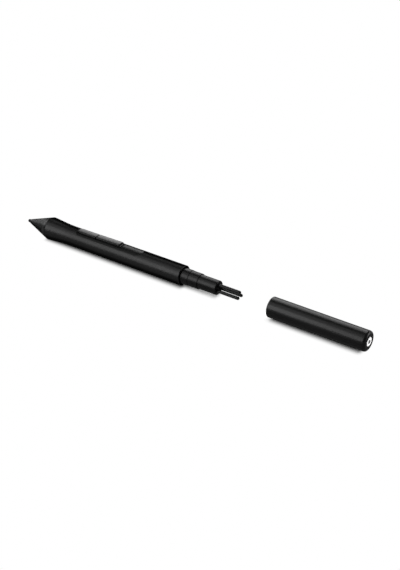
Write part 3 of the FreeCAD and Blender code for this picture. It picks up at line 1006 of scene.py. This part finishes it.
class PEN_OT_nose(bpy.types.Operator):
    """Builds the nose cone and the nib in it"""

    bl_idname = "pen.nose"
    bl_label = "Nose and nib"

    def execute(self, context):
        end = span_of("nose_cone")[1]
        corners = [
            (CONE_FRONT, NIB_HOLE_RADIUS, SEAM_ROUND), (CONE_FRONT, CONE_FRONT_RADIUS, FINE),
            (SEAM, SEAM_RADIUS, SEAM_ROUND), (SEAM, INSIDE_RADIUS),
            (end, INSIDE_RADIUS, SMALL), (end, NOSE_CAVITY_RADIUS, SMALL),
            (NOSE_CAVITY_FRONT, NOSE_CAVITY_RADIUS), (NOSE_CAVITY_FRONT, NIB_HOLE_RADIUS, MOULDED),
        ]
        turned("nose_cone_shell", "nose_cone", corners, finish="nose_black")
        nib("pen_nib", "nib", 0.0, 1)
        return {"FINISHED"}


def nib(name, node, tip, sign, y=0.0, height=0.0):
    """A plastic nib with a rounded tip and a chamfered tail, pointing either way."""
    tail = tip + sign * NIB_LENGTH
    corners = [(tip, 0.0)] + [(tip + sign * behind, radius, ease) for behind, radius, ease in NIB_TIP]
    corners += [(tail - sign * NIB_CHAMFER, NIB_RADIUS, FINE)]
    corners += [(tail, NIB_RADIUS - NIB_CHAMFER, BROKEN), (tail, 0.0)]
    mesh = bmesh.new()
    turned_aside(mesh, outline(corners, False), y, height)
    finished(name, mesh, node)


class PEN_OT_barrel(bpy.types.Operator):
    """Builds the barrel with its flared grip and the switch window cut in it"""

    bl_idname = "pen.barrel"
    bl_label = "Barrel"

    def execute(self, context):
        first, last = WINDOW_FRONT - WINDOW_MARGIN, WINDOW_END + WINDOW_MARGIN
        patch = [part_way(first, last, step / WINDOW_RUN) for step in range(WINDOW_RUN + 1)]
        poles = [
            (RIDGE, RIDGE_RADIUS),
            (RIDGE + SHOULDER_RUN, RIDGE_RADIUS - SHOULDER_DROP),
            (WAIST - WAIST_EASING, BARREL_RADIUS),
            (WAIST, BARREL_RADIUS),
        ]
        grip = curve_points(poles, GRIP_STEPS)[RIDGE_STEPS:]
        rim = [(SEAM, BORE_RADIUS), (SEAM, SEAM_RADIUS, SEAM_ROUND), (RIDGE, RIDGE_RADIUS, RIDGE_ROUND)]
        front = outline([*rim, grip[0]], False)[:-1] + grip
        tail = [(BARREL_END, BARREL_RADIUS, BARREL_END_ROUND), (BARREL_END, BORE_RADIUS)]
        skin = [(s, BARREL_RADIUS) for s in patch]
        outer = front + skin[:-1] + outline([skin[-1], *tail], False)
        inner = [(s, BORE_RADIUS) for s in (SEAM, *patch, BARREL_END)]
        edge = context.scene.pen_shape.edge_round
        mesh = bmesh.new()
        outer_edge = windowed_skin(mesh, outer, len(front), BARREL_RADIUS, edge)
        bridge(mesh, outer_edge, windowed_skin(mesh, inner, 1, BORE_RADIUS, 0.0))
        bmesh.ops.remove_doubles(mesh, verts=mesh.verts, dist=SAME_SPOT)
        finished("barrel_shell", mesh, "barrel")
        return {"FINISHED"}


def windowed_skin(mesh, points, start, radius, edge):
    """A turned skin with the switch window left open in its top. Gives the vertices of the window's edge."""
    rows = [ring(mesh, s, r) for s, r in points]
    half = WINDOW_TURN // 2
    run, turns = range(WINDOW_RUN), range(-half, half)
    open_turns = {turn % TURN_STEPS for turn in turns}
    for index, (here, there) in enumerate(zip(rows, rows[1:])):
        bridge(mesh, here, there, open_turns if index - start in run else ())
    # The opened patch's border, as the row and the turn of each vertex
    border = [(start + step, -half) for step in run] + [(start + WINDOW_RUN, turn) for turn in turns]
    border += [(start + WINDOW_RUN - step, half) for step in run] + [(start, -turn) for turn in turns]
    row = [rows[index][turn % TURN_STEPS] for index, turn in border]
    outer = [(points[index][0], 2 * math.pi * turn / TURN_STEPS) for index, turn in border]
    opening = [(s, math.asin(y / radius)) for s, y in window(-edge)]
    loops = []
    for share in WINDOW_ROWS:
        spots = between_loops(outer, opening, share)
        loops.append([round_axis(s, radius, turn) for s, turn in spots])
    if edge:
        for drop, outset in round_edge(edge)[1:]:
            height = on_cylinder(radius, drop)
            loops.append([at(s, y, height(s, y)) for s, y in window(-outset)])
    rows = [row] + [row_of(mesh, loop) for loop in loops]
    join(mesh, rows)
    return rows[-1]


class PEN_OT_switches(bpy.types.Operator):
    """Builds the dark insert in the window and the two side keys"""

    bl_idname = "pen.switches"
    bl_label = "Insert and keys"

    def execute(self, context):
        insert(context.scene.pen_shape.edge_round)
        front_span, rear_span = (KEYS_FRONT, FRONT_KEY_END), (REAR_KEY_FRONT, KEYS_END)
        key("front_key_cap", "front_key", *front_span, near=KEY_FRONT_ROUND, front_lip=FLANGE_REACH)
        key("rear_key_cap", "rear_key", *rear_span, bevel=KEY_REAR_BEVEL, end_lip=FLANGE_REACH)
        return {"FINISHED"}


def insert(edge):
    """The insert, which fills the window round both keys and has rounded edges on both sides."""
    gap = KEY_SIDE_GAP

    def slot(inset):
        front, end = KEYS_FRONT - gap, KEYS_END + gap
        return plan_loop(front, end, KEY_HALF_WIDTH + gap, KEY_FRONT_ROUND + gap, KEY_CORNER + gap, inset)

    steps = round_edge(edge)
    layers = [(window(BEZEL_GAP), BEZEL_UNDERSIDE)]
    layers += [(window(inset + BEZEL_GAP), on_cylinder(BEZEL_RADIUS, drop)) for inset, drop in steps]
    wide, narrow = window(edge + BEZEL_GAP), slot(-edge)
    top = on_cylinder(BEZEL_RADIUS)
    layers += [(between_loops(wide, narrow, step / BEZEL_ROWS), top) for step in range(1, BEZEL_ROWS)]
    layers += [(slot(-outset), on_cylinder(BEZEL_RADIUS, drop)) for drop, outset in steps]
    layers.append((slot(0), BEZEL_UNDERSIDE))
    mesh = bmesh.new()
    rows = stack(mesh, layers)
    bridge(mesh, rows[-1], rows[0])
    finished("switch_insert", mesh, "switch_bezel", "insert_black")


def ramp_height(s):
    """The height of the crown line over the axis at a place along both keys."""
    share = max((s - KEYS_FRONT) / (KEYS_END - KEYS_FRONT), 0.0)
    return BARREL_RADIUS + part_way(FRONT_KEY_RISE, REAR_KEY_RISE, share ** 2)


def key(name, node, front, end, near=KEY_CORNER, bevel=0.0, front_lip=0.0, end_lip=0.0):
    """One side key: a stem with a lip under the insert, rounded top edges and a crowned, climbing top."""

    def top(s, y, drop=0.0):
        past_bevel = max(s - (end - bevel), 0.0)
        crown = math.sqrt(KEY_CROWN ** 2 - y * y) - KEY_CROWN
        return ramp_height(s) - past_bevel * KEY_BEVEL_SLOPE + crown - drop

    def plan(inset):
        return plan_loop(front, end, KEY_HALF_WIDTH, near, KEY_CORNER, inset)

    wide = KEY_HALF_WIDTH + FLANGE_REACH
    flange = plan_loop(front - front_lip, end + end_lip, wide, FLANGE_CORNER, FLANGE_CORNER)
    layers = [(flange, FLANGE_BOTTOM), (flange, FLANGE_TOP), (plan(0), FLANGE_TOP)]
    edge = round_edge(bpy.context.scene.pen_shape.key_edge_round, KEY_EDGE_STEPS)
    layers += [(plan(inset), functools.partial(top, drop=drop)) for inset, drop in edge]
    layers += [(plan(inset), top) for inset in KEY_TOP_INSETS]
    mesh = bmesh.new()
    rows = stack(mesh, layers)
    for row in (rows[0], rows[-1]):
        close_loop(mesh, row)
    finished(name, mesh, node)


class PEN_OT_holder(bpy.types.Operator):
    """Builds the stepped nib holder at the barrel's rear end"""

    bl_idname = "pen.holder"
    bl_label = "Nib holder"

    def execute(self, context):
        front = span_of("nib_holder")[0]
        collar_end = BARREL_END + COLLAR_LENGTH
        groove_end = collar_end + HOLDER_GROOVE_LENGTH
        mid_end = groove_end + HOLDER_MID_LENGTH
        corners = [
            (front, 0.0), (front, INSIDE_RADIUS, MOULDED),
            (BARREL_END, INSIDE_RADIUS), (BARREL_END, COLLAR_RADIUS),
            (collar_end, COLLAR_RADIUS, SOFT), (collar_end, HOLDER_GROOVE_RADIUS, BROKEN),
            (groove_end, HOLDER_GROOVE_RADIUS, BROKEN), (groove_end, HOLDER_MID_RADIUS, SMALL),
            (mid_end, HOLDER_MID_RADIUS, FINE), (mid_end, HOLDER_TAIL_RADIUS, BROKEN),
            (HOLDER_END, HOLDER_TAIL_RADIUS, HOLDER_END_ROUND), (HOLDER_END, 0.0),
        ]
        holder = turned("nib_holder_body", "nib_holder", corners, False, "holder_black")
        socket_floor, past = HOLDER_END - SOCKET_DEPTH, HOLDER_END + CUT_OVERRUN
        corners = [
            (socket_floor, 0.0), (socket_floor, SOCKET_RADIUS),
            (HOLDER_END - SOCKET_EASE, SOCKET_RADIUS),
            (past, SOCKET_RADIUS + SOCKET_EASE + CUT_OVERRUN), (past, 0.0),
        ]
        sockets = bmesh.new()
        for y, height in spare_places():
            turned_aside(sockets, corners, y, height)
        drill_holes(holder, sockets)
        return {"FINISHED"}


def spare_places():
    """Each spare nib's place across the pen, as (y, height)."""
    turns = [math.radians(SPARE_FIRST_ANGLE + index * 360 / SPARE_COUNT) for index in range(SPARE_COUNT)]
    return [(SPARE_PITCH * math.cos(turn), SPARE_PITCH * math.sin(turn)) for turn in turns]


class PEN_OT_spare_nibs(bpy.types.Operator):
    """Builds the three spare nibs in their sockets"""

    bl_idname = "pen.spare_nibs"
    bl_label = "Spare nibs"

    def execute(self, context):
        for number, (y, height) in enumerate(spare_places(), start=1):
            node = f"spare_nib_{number}"
            nib(f"{node}_rod", node, span_of(node)[1], -1, y, height)
        return {"FINISHED"}


class PEN_OT_cap(bpy.types.Operator):
    """Builds the pull-off rear cap with its end disc and the sleeve in its mouth"""

    bl_idname = "pen.cap"
    bl_label = "Cap"

    def execute(self, context):
        cap_tube()
        cap_end_disc()
        sleeve("cap_sleeve", "cap_grip_sleeve", SLEEVE_BORE, SLEEVE_RADIUS, EASY, BROKEN)
        return {"FINISHED"}


def cap_tube():
    """The cap, with a seat for the grip sleeve in its mouth and a hole for the disc at its end."""
    sleeve_front, sleeve_end = span_of("cap_grip_sleeve")
    hole = DISC_RADIUS - DISC_LIP
    corners = [
        (CAP_END, CAP_END_RADIUS, CAP_END_RADIUS - DISC_RADIUS - CAP_END_RIM),
        (CAP_MOUTH, BARREL_RADIUS, CAP_MOUTH_ROUND), (CAP_MOUTH, SLEEVE_BORE + MOUTH_GAP, SOFT),
        (sleeve_front, SLEEVE_BORE + MOUTH_GAP), (sleeve_front, SLEEVE_RADIUS + SEAT_GAP),
        (sleeve_end, SLEEVE_RADIUS + SEAT_GAP), (sleeve_end, CAP_BORE_RADIUS),
        (CAP_LIP_FRONT, CAP_BORE_RADIUS), (CAP_LIP_FRONT, DISC_RADIUS),
        (DISC_BACK, DISC_RADIUS), (DISC_BACK, hole),
        (CAP_END, hole, BROKEN),
    ]
    turned("cap_shell", "cap_tube", corners)


def cap_end_disc():
    """The pale disc with the eased hole of the nib puller."""
    disc_face, rim = CAP_END - DISC_FACE, DISC_RADIUS - DISC_LIP - DISC_GAP
    corners = [
        (DISC_BACK, DISC_RELIEF), (DISC_BACK, rim),
        (CAP_END, rim, EASY), (CAP_END, NIB_HOLE_RADIUS + DISC_HOLE_EASE),
        (disc_face, NIB_HOLE_RADIUS + DISC_HOLE_EASE / 2), (disc_face, DISC_RELIEF),
    ]
    turned("cap_disc", "cap_end_disc", corners)


class PEN_OT_cap_end(bpy.types.Operator):
    """Builds the plug inside the cap's closed end and the ring that grips a worn nib"""

    bl_idname = "pen.cap_end"
    bl_label = "Cap end plug"

    def execute(self, context):
        front, end = span_of("cap_end_plug")
        ring_front = span_of("nib_puller_ring")[0]
        hole_floor = CAP_END - PULLER_HOLE_DEPTH
        seat, ring_seat = DISC_RADIUS - SEAT_GAP, PULLER_RING_RADIUS + SEAT_GAP
        corners = [
            (front, 0.0), (front, CAP_BORE_RADIUS - SEAT_GAP, PLUG_ROUND),
            (CAP_LIP_FRONT, CAP_BORE_RADIUS - SEAT_GAP, SMALL), (CAP_LIP_FRONT, seat),
            (end, seat, FINE), (end, ring_seat),
            (ring_front, ring_seat), (ring_front, NIB_HOLE_RADIUS, FINE),
            (hole_floor, NIB_HOLE_RADIUS, MOULDED), (hole_floor, 0.0),
        ]
        turned("cap_plug", "cap_end_plug", corners)
        radii = NIB_HOLE_RADIUS, PULLER_RING_RADIUS
        sleeve("puller_ring", "nib_puller_ring", *radii, SOFT, SOFT, "blued_steel")
        return {"FINISHED"}


def sleeve(name, node, bore, radius, bore_round, outer_round, finish=None):
    """A plain ring or tube as long as its CAD node."""
    front, end = span_of(node)
    corners = [(front, bore, bore_round), (front, radius, outer_round)]
    corners += [(end, radius, outer_round), (end, bore, bore_round)]
    turned(name, node, corners, finish=finish)


class PEN_OT_coil(bpy.types.Operator):
    """Builds the damper, the ferrite core and the coil with its two leads"""

    bl_idname = "pen.coil"
    bl_label = "Coil"

    def execute(self, context):
        bore, radius = NIB_HOLE_RADIUS + DAMPER_GAP, NOSE_CAVITY_RADIUS - DAMPER_GAP
        sleeve("damper_ring", "front_damper", bore, radius, SMALL, MOULDED)
        sleeve("ferrite_rod", "ferrite_core", FERRITE_BORE, FERRITE_RADIUS, SMALL, FERRITE_ROUND)
        coil_winding()
        coil_leads()
        return {"FINISHED"}


def coil_winding():
    """The coil, with a half round for each turn of its wire."""
    front, end = span_of("coil_winding")
    half = (end - front) / COIL_TURNS / 2
    corners = [(front, FERRITE_RADIUS)]
    for index in range(COIL_TURNS):
        middle = front + (2 * index + 1) * half
        for step in range(COIL_TURN_STEPS):
            turn = math.pi * step / COIL_TURN_STEPS
            corners.append((middle - half * math.cos(turn), COIL_RADIUS - half + half * math.sin(turn)))
    corners += [(end, COIL_RADIUS - half), (end, FERRITE_RADIUS)]
    turned("coil_turns", "coil_winding", corners)


def coil_leads():
    """The two wires from the coil to the board, which bend outwards on their way."""
    spots = [(span_of("coil_winding")[1], LEAD_COIL_OFFSET)]
    for step in range(LEAD_BEND_STEPS + 1):
        share = step / LEAD_BEND_STEPS
        sway = share * share * (3 - 2 * share)
        place = part_way(LEAD_BEND_FRONT, LEAD_BEND_END, share)
        spots.append((place, part_way(LEAD_COIL_OFFSET, LEAD_RUN_OFFSET, sway)))
    spots.append((span_of("coil_leads")[1], LEAD_RUN_OFFSET))
    mesh = bmesh.new()
    for side in (-1, 1):
        wire(mesh, [at(s, side * y, BOARD_TOP + LEAD_RADIUS) for s, y in spots], LEAD_RADIUS)
    finished("lead_wires", mesh, "coil_leads")


class PEN_OT_sensor(bpy.types.Operator):
    """Builds the nib's socket, its spring and the pressure sensor"""

    bl_idname = "pen.sensor"
    bl_label = "Pressure sensor"

    def execute(self, context):
        nib_socket()
        pressure_spring()
        sensor_case()
        pressure_element()
        return {"FINISHED"}


def nib_socket():
    """The sleeve that grips the nib, with the stem behind its shoulder."""
    front, end = span_of("nib_socket")
    shoulder = span_of("pressure_spring")[0]
    bore_floor = NIB_LENGTH + NIB_SOCKET_PLAY
    corners = [
        (front, NIB_SOCKET_BORE, MOULDED),
        (bore_floor, NIB_SOCKET_BORE), (bore_floor, 0.0),
        (end, 0.0), (end, STEM_RADIUS, EASY),
        (shoulder, STEM_RADIUS), (shoulder, NIB_SOCKET_RADIUS, SMALL),
        (front, NIB_SOCKET_RADIUS, MOULDED),
    ]
    turned("socket_plunger", "nib_socket", corners)


def pressure_spring():
    """The spring behind the shoulder, which is pressed together as the nib goes in."""
    front, end = span_of("pressure_spring")
    path = []
    reach = SPRING_RADIUS - SPRING_WIRE
    for step in range(SPRING_STEPS + 1):
        turn = 2 * math.pi * SPRING_TURNS * step / SPRING_STEPS
        place = part_way(front + SPRING_WIRE, end - SPRING_WIRE, step / SPRING_STEPS)
        path.append(round_axis(place, reach, turn))
    mesh = bmesh.new()
    wire(mesh, path, SPRING_WIRE)
    spring = finished("wound_spring", mesh, "pressure_spring", rides=False)
    at(front, 0, 0)
    at(end, 0, 0)
    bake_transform(spring)


def sensor_case():
    """The sensor's housing, with the hole that guides the stem."""
    front, end = span_of("sensor_case")
    corners = [
        (front, CASE_HOLE, SMALL),
        (front + CASE_WALL, CASE_HOLE),
        (front + CASE_WALL, CASE_CAVITY),
        (end - CASE_FLOOR, CASE_CAVITY),
        (end - CASE_FLOOR, 0.0),
        (end, 0.0), (end, CASE_RADIUS, MOULDED),
        (front, CASE_RADIUS, MOULDED),
    ]
    turned("sensor_shell", "sensor_case", corners)


def pressure_element():
    """The stack that the stem presses on, which is a little narrower between its plates."""
    front, end = span_of("pressure_element")
    waist, step_end = ELEMENT_RADIUS - ELEMENT_WAIST, ELEMENT_PLATE + ELEMENT_STEP
    corners = [
        (front, 0.0), (front, ELEMENT_RADIUS, FINE),
        (front + ELEMENT_PLATE, ELEMENT_RADIUS),
        (front + step_end, waist),
        (end - step_end, waist),
        (end - ELEMENT_PLATE, ELEMENT_RADIUS),
        (end, ELEMENT_RADIUS, FINE), (end, 0.0),
    ]
    turned("sensor_stack", "pressure_element", corners, False)


class PEN_OT_board(bpy.types.Operator):
    """Builds what stands on the circuit board: switches, chip, capacitors and trimmer"""

    bl_idname = "pen.board"
    bl_label = "Parts on the board"

    def execute(self, context):
        switches()
        chip_and_legs()
        capacitor_row()
        trimmer_screw()
        return {"FINISHED"}


def switches():
    """The two switch bodies with their bright covers, and the plungers that ride on the keys."""
    cover_top = heights_of("tact_switches")[1]
    cover_bottom = cover_top - COVER_DEPTH
    hole = PLUNGER_RADIUS + COVER_HOLE_GAP
    bodies, covers = bmesh.new(), bmesh.new()
    for name in ("front", "rear"):
        node = f"{name}_switch_plunger"
        middle = sum(span_of(node)) / 2
        front, end = middle - SWITCH_LENGTH / 2, middle + SWITCH_LENGTH / 2
        rounded_box(bodies, front, end, SWITCH_HALF_WIDTH, BOARD_TOP, cover_top - SWITCH_DROP, SMALL)
        rim = [
            (cover_bottom, hole), (cover_bottom, SWITCH_HALF_WIDTH - COVER_INSET),
            (cover_top, SWITCH_HALF_WIDTH - 2 * COVER_INSET), (cover_top, hole),
            (cover_bottom, hole),
        ]
        upright(covers, middle, rim)
        bottom, top = heights_of(node)
        pin = [(bottom, 0.0), (bottom, PLUNGER_RADIUS, BROKEN), (top, PLUNGER_RADIUS, SOFT), (top, 0.0)]
        plunger = bmesh.new()
        upright(plunger, middle, outline(pin, False))
        finished(f"{name}_plunger_pin", plunger, node)
    finished("switch_bodies", bodies, "tact_switches")
    finished("switch_covers", covers)


def chip_and_legs():
    """The main chip with a row of bent legs along each side."""
    front, end = span_of("main_chip")
    top = heights_of("main_chip")[1]
    body, legs = bmesh.new(), bmesh.new()
    rounded_box(body, front, end, CHIP_HALF_WIDTH, BOARD_TOP + CHIP_LIFT, top, SOFT)
    pitch = (end - front) / CHIP_LEGS
    for index in range(CHIP_LEGS):
        place = front + (index + 0.5) * pitch
        leg_front, leg_end = place - CHIP_LEG_HALF_WIDTH, place + CHIP_LEG_HALF_WIDTH
        for side in (-1, 1):
            for middle, half, low, high in CHIP_LEG:
                low, high = BOARD_TOP + low, BOARD_TOP + high
                rounded_box(legs, leg_front, leg_end, half, low, high, CUT_EDGE, side * middle)
    finished("chip_body", body, "main_chip")
    finished("chip_legs", legs)


def capacitor_row():
    """Four ceramic capacitors with plated ends."""
    front, top = span_of("capacitors")[0], heights_of("capacitors")[1]
    bodies, ends = bmesh.new(), bmesh.new()
    half, skin = CAPACITOR_HALF_WIDTH, PLATING_THICKNESS
    for row in range(2):
        for side in (-CAPACITOR_SIDE, CAPACITOR_SIDE):
            place = front + row * CAPACITOR_PITCH
            end = place + CAPACITOR_LENGTH
            inner = (place + CAPACITOR_RECESS, end - CAPACITOR_RECESS)
            rounded_box(bodies, *inner, half - skin, BOARD_TOP, top - skin, CAPACITOR_EDGE, side)
            for start in (place, end - CAPACITOR_PLATING):
                rounded_box(ends, start, start + CAPACITOR_PLATING, half, BOARD_TOP, top, SMALL, side)
    finished("capacitor_bodies", bodies, "capacitors")
    finished("capacitor_ends", ends)


def trimmer_screw():
    """The round trimmer with the slot across its top."""
    middle, top = sum(span_of("trimmer")) / 2, heights_of("trimmer")[1]
    shoulder = top - TRIMMER_SCREW_HEIGHT
    corners = [
        (BOARD_TOP, 0.0), (BOARD_TOP, TRIMMER_RADIUS, BROKEN),
        (shoulder, TRIMMER_RADIUS, SMALL), (shoulder, TRIMMER_SCREW_RADIUS, BROKEN),
        (top, TRIMMER_SCREW_RADIUS, SMALL), (top, 0.0),
    ]
    mesh, slot = bmesh.new(), bmesh.new()
    upright(mesh, middle, outline(corners, False))
    reach = TRIMMER_RADIUS + CUT_OVERRUN
    slot_floor, past = top - TRIMMER_SLOT, top + 2 * CUT_OVERRUN
    rounded_box(slot, middle - reach, middle + reach, TRIMMER_SLOT / 2, slot_floor, past, CUT_EDGE)
    drill_holes(finished("trimmer_screw", mesh, "trimmer"), slot)


class PEN_OT_stage(bpy.types.Operator):
    """Sets up the floor, the lights and the camera"""

    bl_idname = "pen.stage"
    bl_label = "Studio"

    def execute(self, context):
        studio = context.scene.pen_studio
        floor()
        lean = math.sin(studio.turn) * math.cos(studio.rise)
        low, middle, high = FRONT_STRIP_ANGLES
        strip(studio, "low_strip", lean, studio.lamp_width, low, middle, studio.low_level)
        strip(studio, "high_strip", lean, studio.lamp_width, middle, high, studio.high_level)
        strip(studio, "cap_strip", *CAP_STRIP, studio.rear_level)
        strip(studio, "key_strip", *KEY_STRIP, studio.rear_level * KEY_STRIP_SHARE)
        panel(studio, "end_panel", *END_PANEL, studio.rear_level)
        panel(studio, "fill_panel", *FILL_PANEL, studio.fill_level)
        panel(studio, "nose_panel", *NOSE_PANEL, studio.nose_level)
        room = Finish(bpy.data.worlds.new("studio_room"))
        glow = room.add("ShaderNodeBackground", None, {"Color": grey(1.0), "Strength": studio.ambient})
        room.add("ShaderNodeOutputWorld", None, {"Surface": glow})
        context.scene.world = room.owner
        context.scene.view_settings.view_transform = "Standard"
        camera(studio)
        return {"FINISHED"}


def floor():
    """A large pale floor that keeps the shadow near the pen and is plain white further off."""
    mesh = bmesh.new()
    bmesh.ops.create_grid(mesh, x_segments=FLOOR_STEPS, y_segments=FLOOR_STEPS, size=FLOOR_REACH)
    ground = as_object("studio_floor", mesh)
    ground.data.materials.append(floor_finish())


def floor_finish():
    """White paper that takes the pen's real shadow and a painted contact shadow next to it, and is plain
    white a little further off.
    """
    finish = new_finish("studio_paper")
    length, across = finish.part(finish.place, "X"), finish.part(finish.place, "Y")
    beside = under(finish, length, NOSE_SHADOW_FRONT, BARREL_END)
    beside = beside + under(finish, length, HOLDER_END + GAP_SHADOW_START, CAP_END - CAP_SHADOW_SHORT)
    near = beside * finish.between(abs(across), SHADOW_CORE * MM, SHADOW_REACH * MM, 1.0, 0.0)
    holder = HOLDER_MID_RADIUS * MM
    behind = finish.between(across, -HOLDER_SHADOW_FRONT * MM, HOLDER_SHADOW_BACK * MM)
    behind = behind * finish.between(across, holder, 2 * holder, 1.0, 0.0)
    near = near + under(finish, length, BARREL_END, HOLDER_END - HOLDER_SHADOW_SHORT) * behind
    kinds = ("Camera", "Glossy", "Transmission")
    seen = sum(finish.add("ShaderNodeLightPath", output=f"Is {kind} Ray") for kind in kinds)
    paper = finish.clouded(finish.noise(PAPER_CLOUDS), grey(PAPER_TONE), grey(1.0))
    # Painted contact shadow: ambient occlusion darkens the paper's colour next to the pen, over its real
    # shadow
    reach = {"Distance": PAINTED_SHADOW_REACH * MM}
    painted_contact_shadow = finish.add("ShaderNodeAmbientOcclusion", {"samples": PAINTED_SHADOW_SAMPLES}, reach, "AO")
    paper = finish.mix(painted_contact_shadow ** PAINTED_SHADOW_POWER, grey(PAINTED_SHADOW_TONE), paper)
    diffuse = finish.add("ShaderNodeBsdfDiffuse", None, {"Color": paper})
    white = finish.add("ShaderNodeEmission", None, {"Color": grey(1.0), "Strength": 1.0})
    both = finish.add("ShaderNodeMixShader", None, {0: (1 - near) * seen, 1: diffuse, 2: white})
    finish.add("ShaderNodeOutputMaterial", None, {"Surface": both})
    return finish.owner


def under(finish, length, front, end):
    """A field that is 1 between two places along the pen and fades out past them."""
    fade = SHADOW_FADE
    entered, passed = (finish.between(length, along(s - fade), along(s + fade)) for s in (front, end))
    return entered - passed


def lamp(name, way, upright_way, distance, width, length, level):
    """A soft rectangular lamp that shines at the pen, whose brightness is in whites of the floor."""
    light = bpy.data.lights.new(name, "AREA")
    light.shape = "RECTANGLE"
    light.size = width
    light.size_y = length
    light.energy = level * math.pi * width * length
    aim(placed(name, light), way * distance, upright_way.cross(way), upright_way, way)


def aim(thing, place, right, up, back):
    """Puts a lamp or the camera at a place, looking away from its back."""
    turn = Matrix((right, up, back)).transposed().to_4x4()
    thing.matrix_world = Matrix.Translation(place) @ turn


def panel(studio, name, direction, width, height, level):
    """A lamp in a direction from the pen."""
    way = Vector(direction).normalized()
    across = Vector((0, 0, 1)).cross(way).normalized()
    lamp(name, way, way.cross(across), studio.lamp_distance, width, height, level)


def strip(studio, name, lean, width, low, high, level):
    """A strip lamp along the directions that the round pen mirrors to the camera, between two angles."""
    rest = math.sqrt(1 - lean * lean)
    middle = math.radians((low + high) / 2)
    way = Vector((-lean, -rest * math.cos(middle), rest * math.sin(middle)))
    upright_way = Vector((0, math.sin(middle), math.cos(middle)))
    length = 2 * studio.lamp_distance * rest * math.tan(math.radians(high - low) / 2)
    lamp(name, way, upright_way, studio.lamp_distance, width, length, level)


def camera(studio):
    """The camera at the photograph's viewing angle."""
    turn, rise = studio.turn, studio.rise
    right = Vector((math.cos(turn), math.sin(turn), 0))
    up = Vector((-math.sin(turn) * math.sin(rise), math.cos(turn) * math.sin(rise), math.cos(rise)))
    back = Vector((math.sin(turn) * math.cos(rise), -math.cos(turn) * math.cos(rise), math.sin(rise)))
    view = bpy.data.cameras.new("photo_view")
    view.lens = studio.lens
    view.sensor_width = SENSOR_WIDTH
    view.clip_start = CLIP_START
    eye = placed("photo_view", view)
    target = Vector((TIP + studio.target_place, 0, AXIS - studio.target_drop))
    aim(eye, target + back * studio.distance, right, up, back)
    bpy.context.scene.camera = eye


STEPS = (
    PEN_OT_nose,
    PEN_OT_barrel,
    PEN_OT_switches,
    PEN_OT_holder,
    PEN_OT_spare_nibs,
    PEN_OT_cap,
    PEN_OT_cap_end,
    PEN_OT_coil,
    PEN_OT_sensor,
    PEN_OT_board,
    PEN_OT_stage,
)
GROUPS = {"pen_shape": PenShape, "pen_finishes": PenFinishes, "pen_studio": PenStudio}


class PEN_PT_build(bpy.types.Panel):
    """Lists the steps that build the dressed pen, and its settings"""

    bl_idname = "PEN_PT_build"
    bl_label = "Digital pen"
    bl_space_type = "VIEW_3D"
    bl_region_type = "UI"
    bl_category = "Digital Pen"

    def draw(self, context):
        column = self.layout.column()
        for step in STEPS:
            column.operator(step.bl_idname)
        for name, kind in GROUPS.items():
            for key_name in kind.__annotations__:
                column.prop(getattr(context.scene, name), key_name)


def register():
    for kind in (*GROUPS.values(), *STEPS, PEN_PT_build):
        bpy.utils.register_class(kind)
    for name, kind in GROUPS.items():
        setattr(bpy.types.Scene, name, PointerProperty(type=kind))


def unregister():
    for name in GROUPS:
        delattr(bpy.types.Scene, name)
    for kind in (PEN_PT_build, *STEPS[::-1], *GROUPS.values()):
        bpy.utils.unregister_class(kind)


def main():
    register()
    dress_nodes()
    bpy.ops.pen.nose()
    bpy.ops.pen.barrel()
    bpy.ops.pen.switches()
    bpy.ops.pen.holder()
    bpy.ops.pen.spare_nibs()
    bpy.ops.pen.cap()
    bpy.ops.pen.cap_end()
    bpy.ops.pen.coil()
    bpy.ops.pen.sensor()
    bpy.ops.pen.board()
    bpy.ops.pen.stage()


if __name__ == "__main__":
    main()
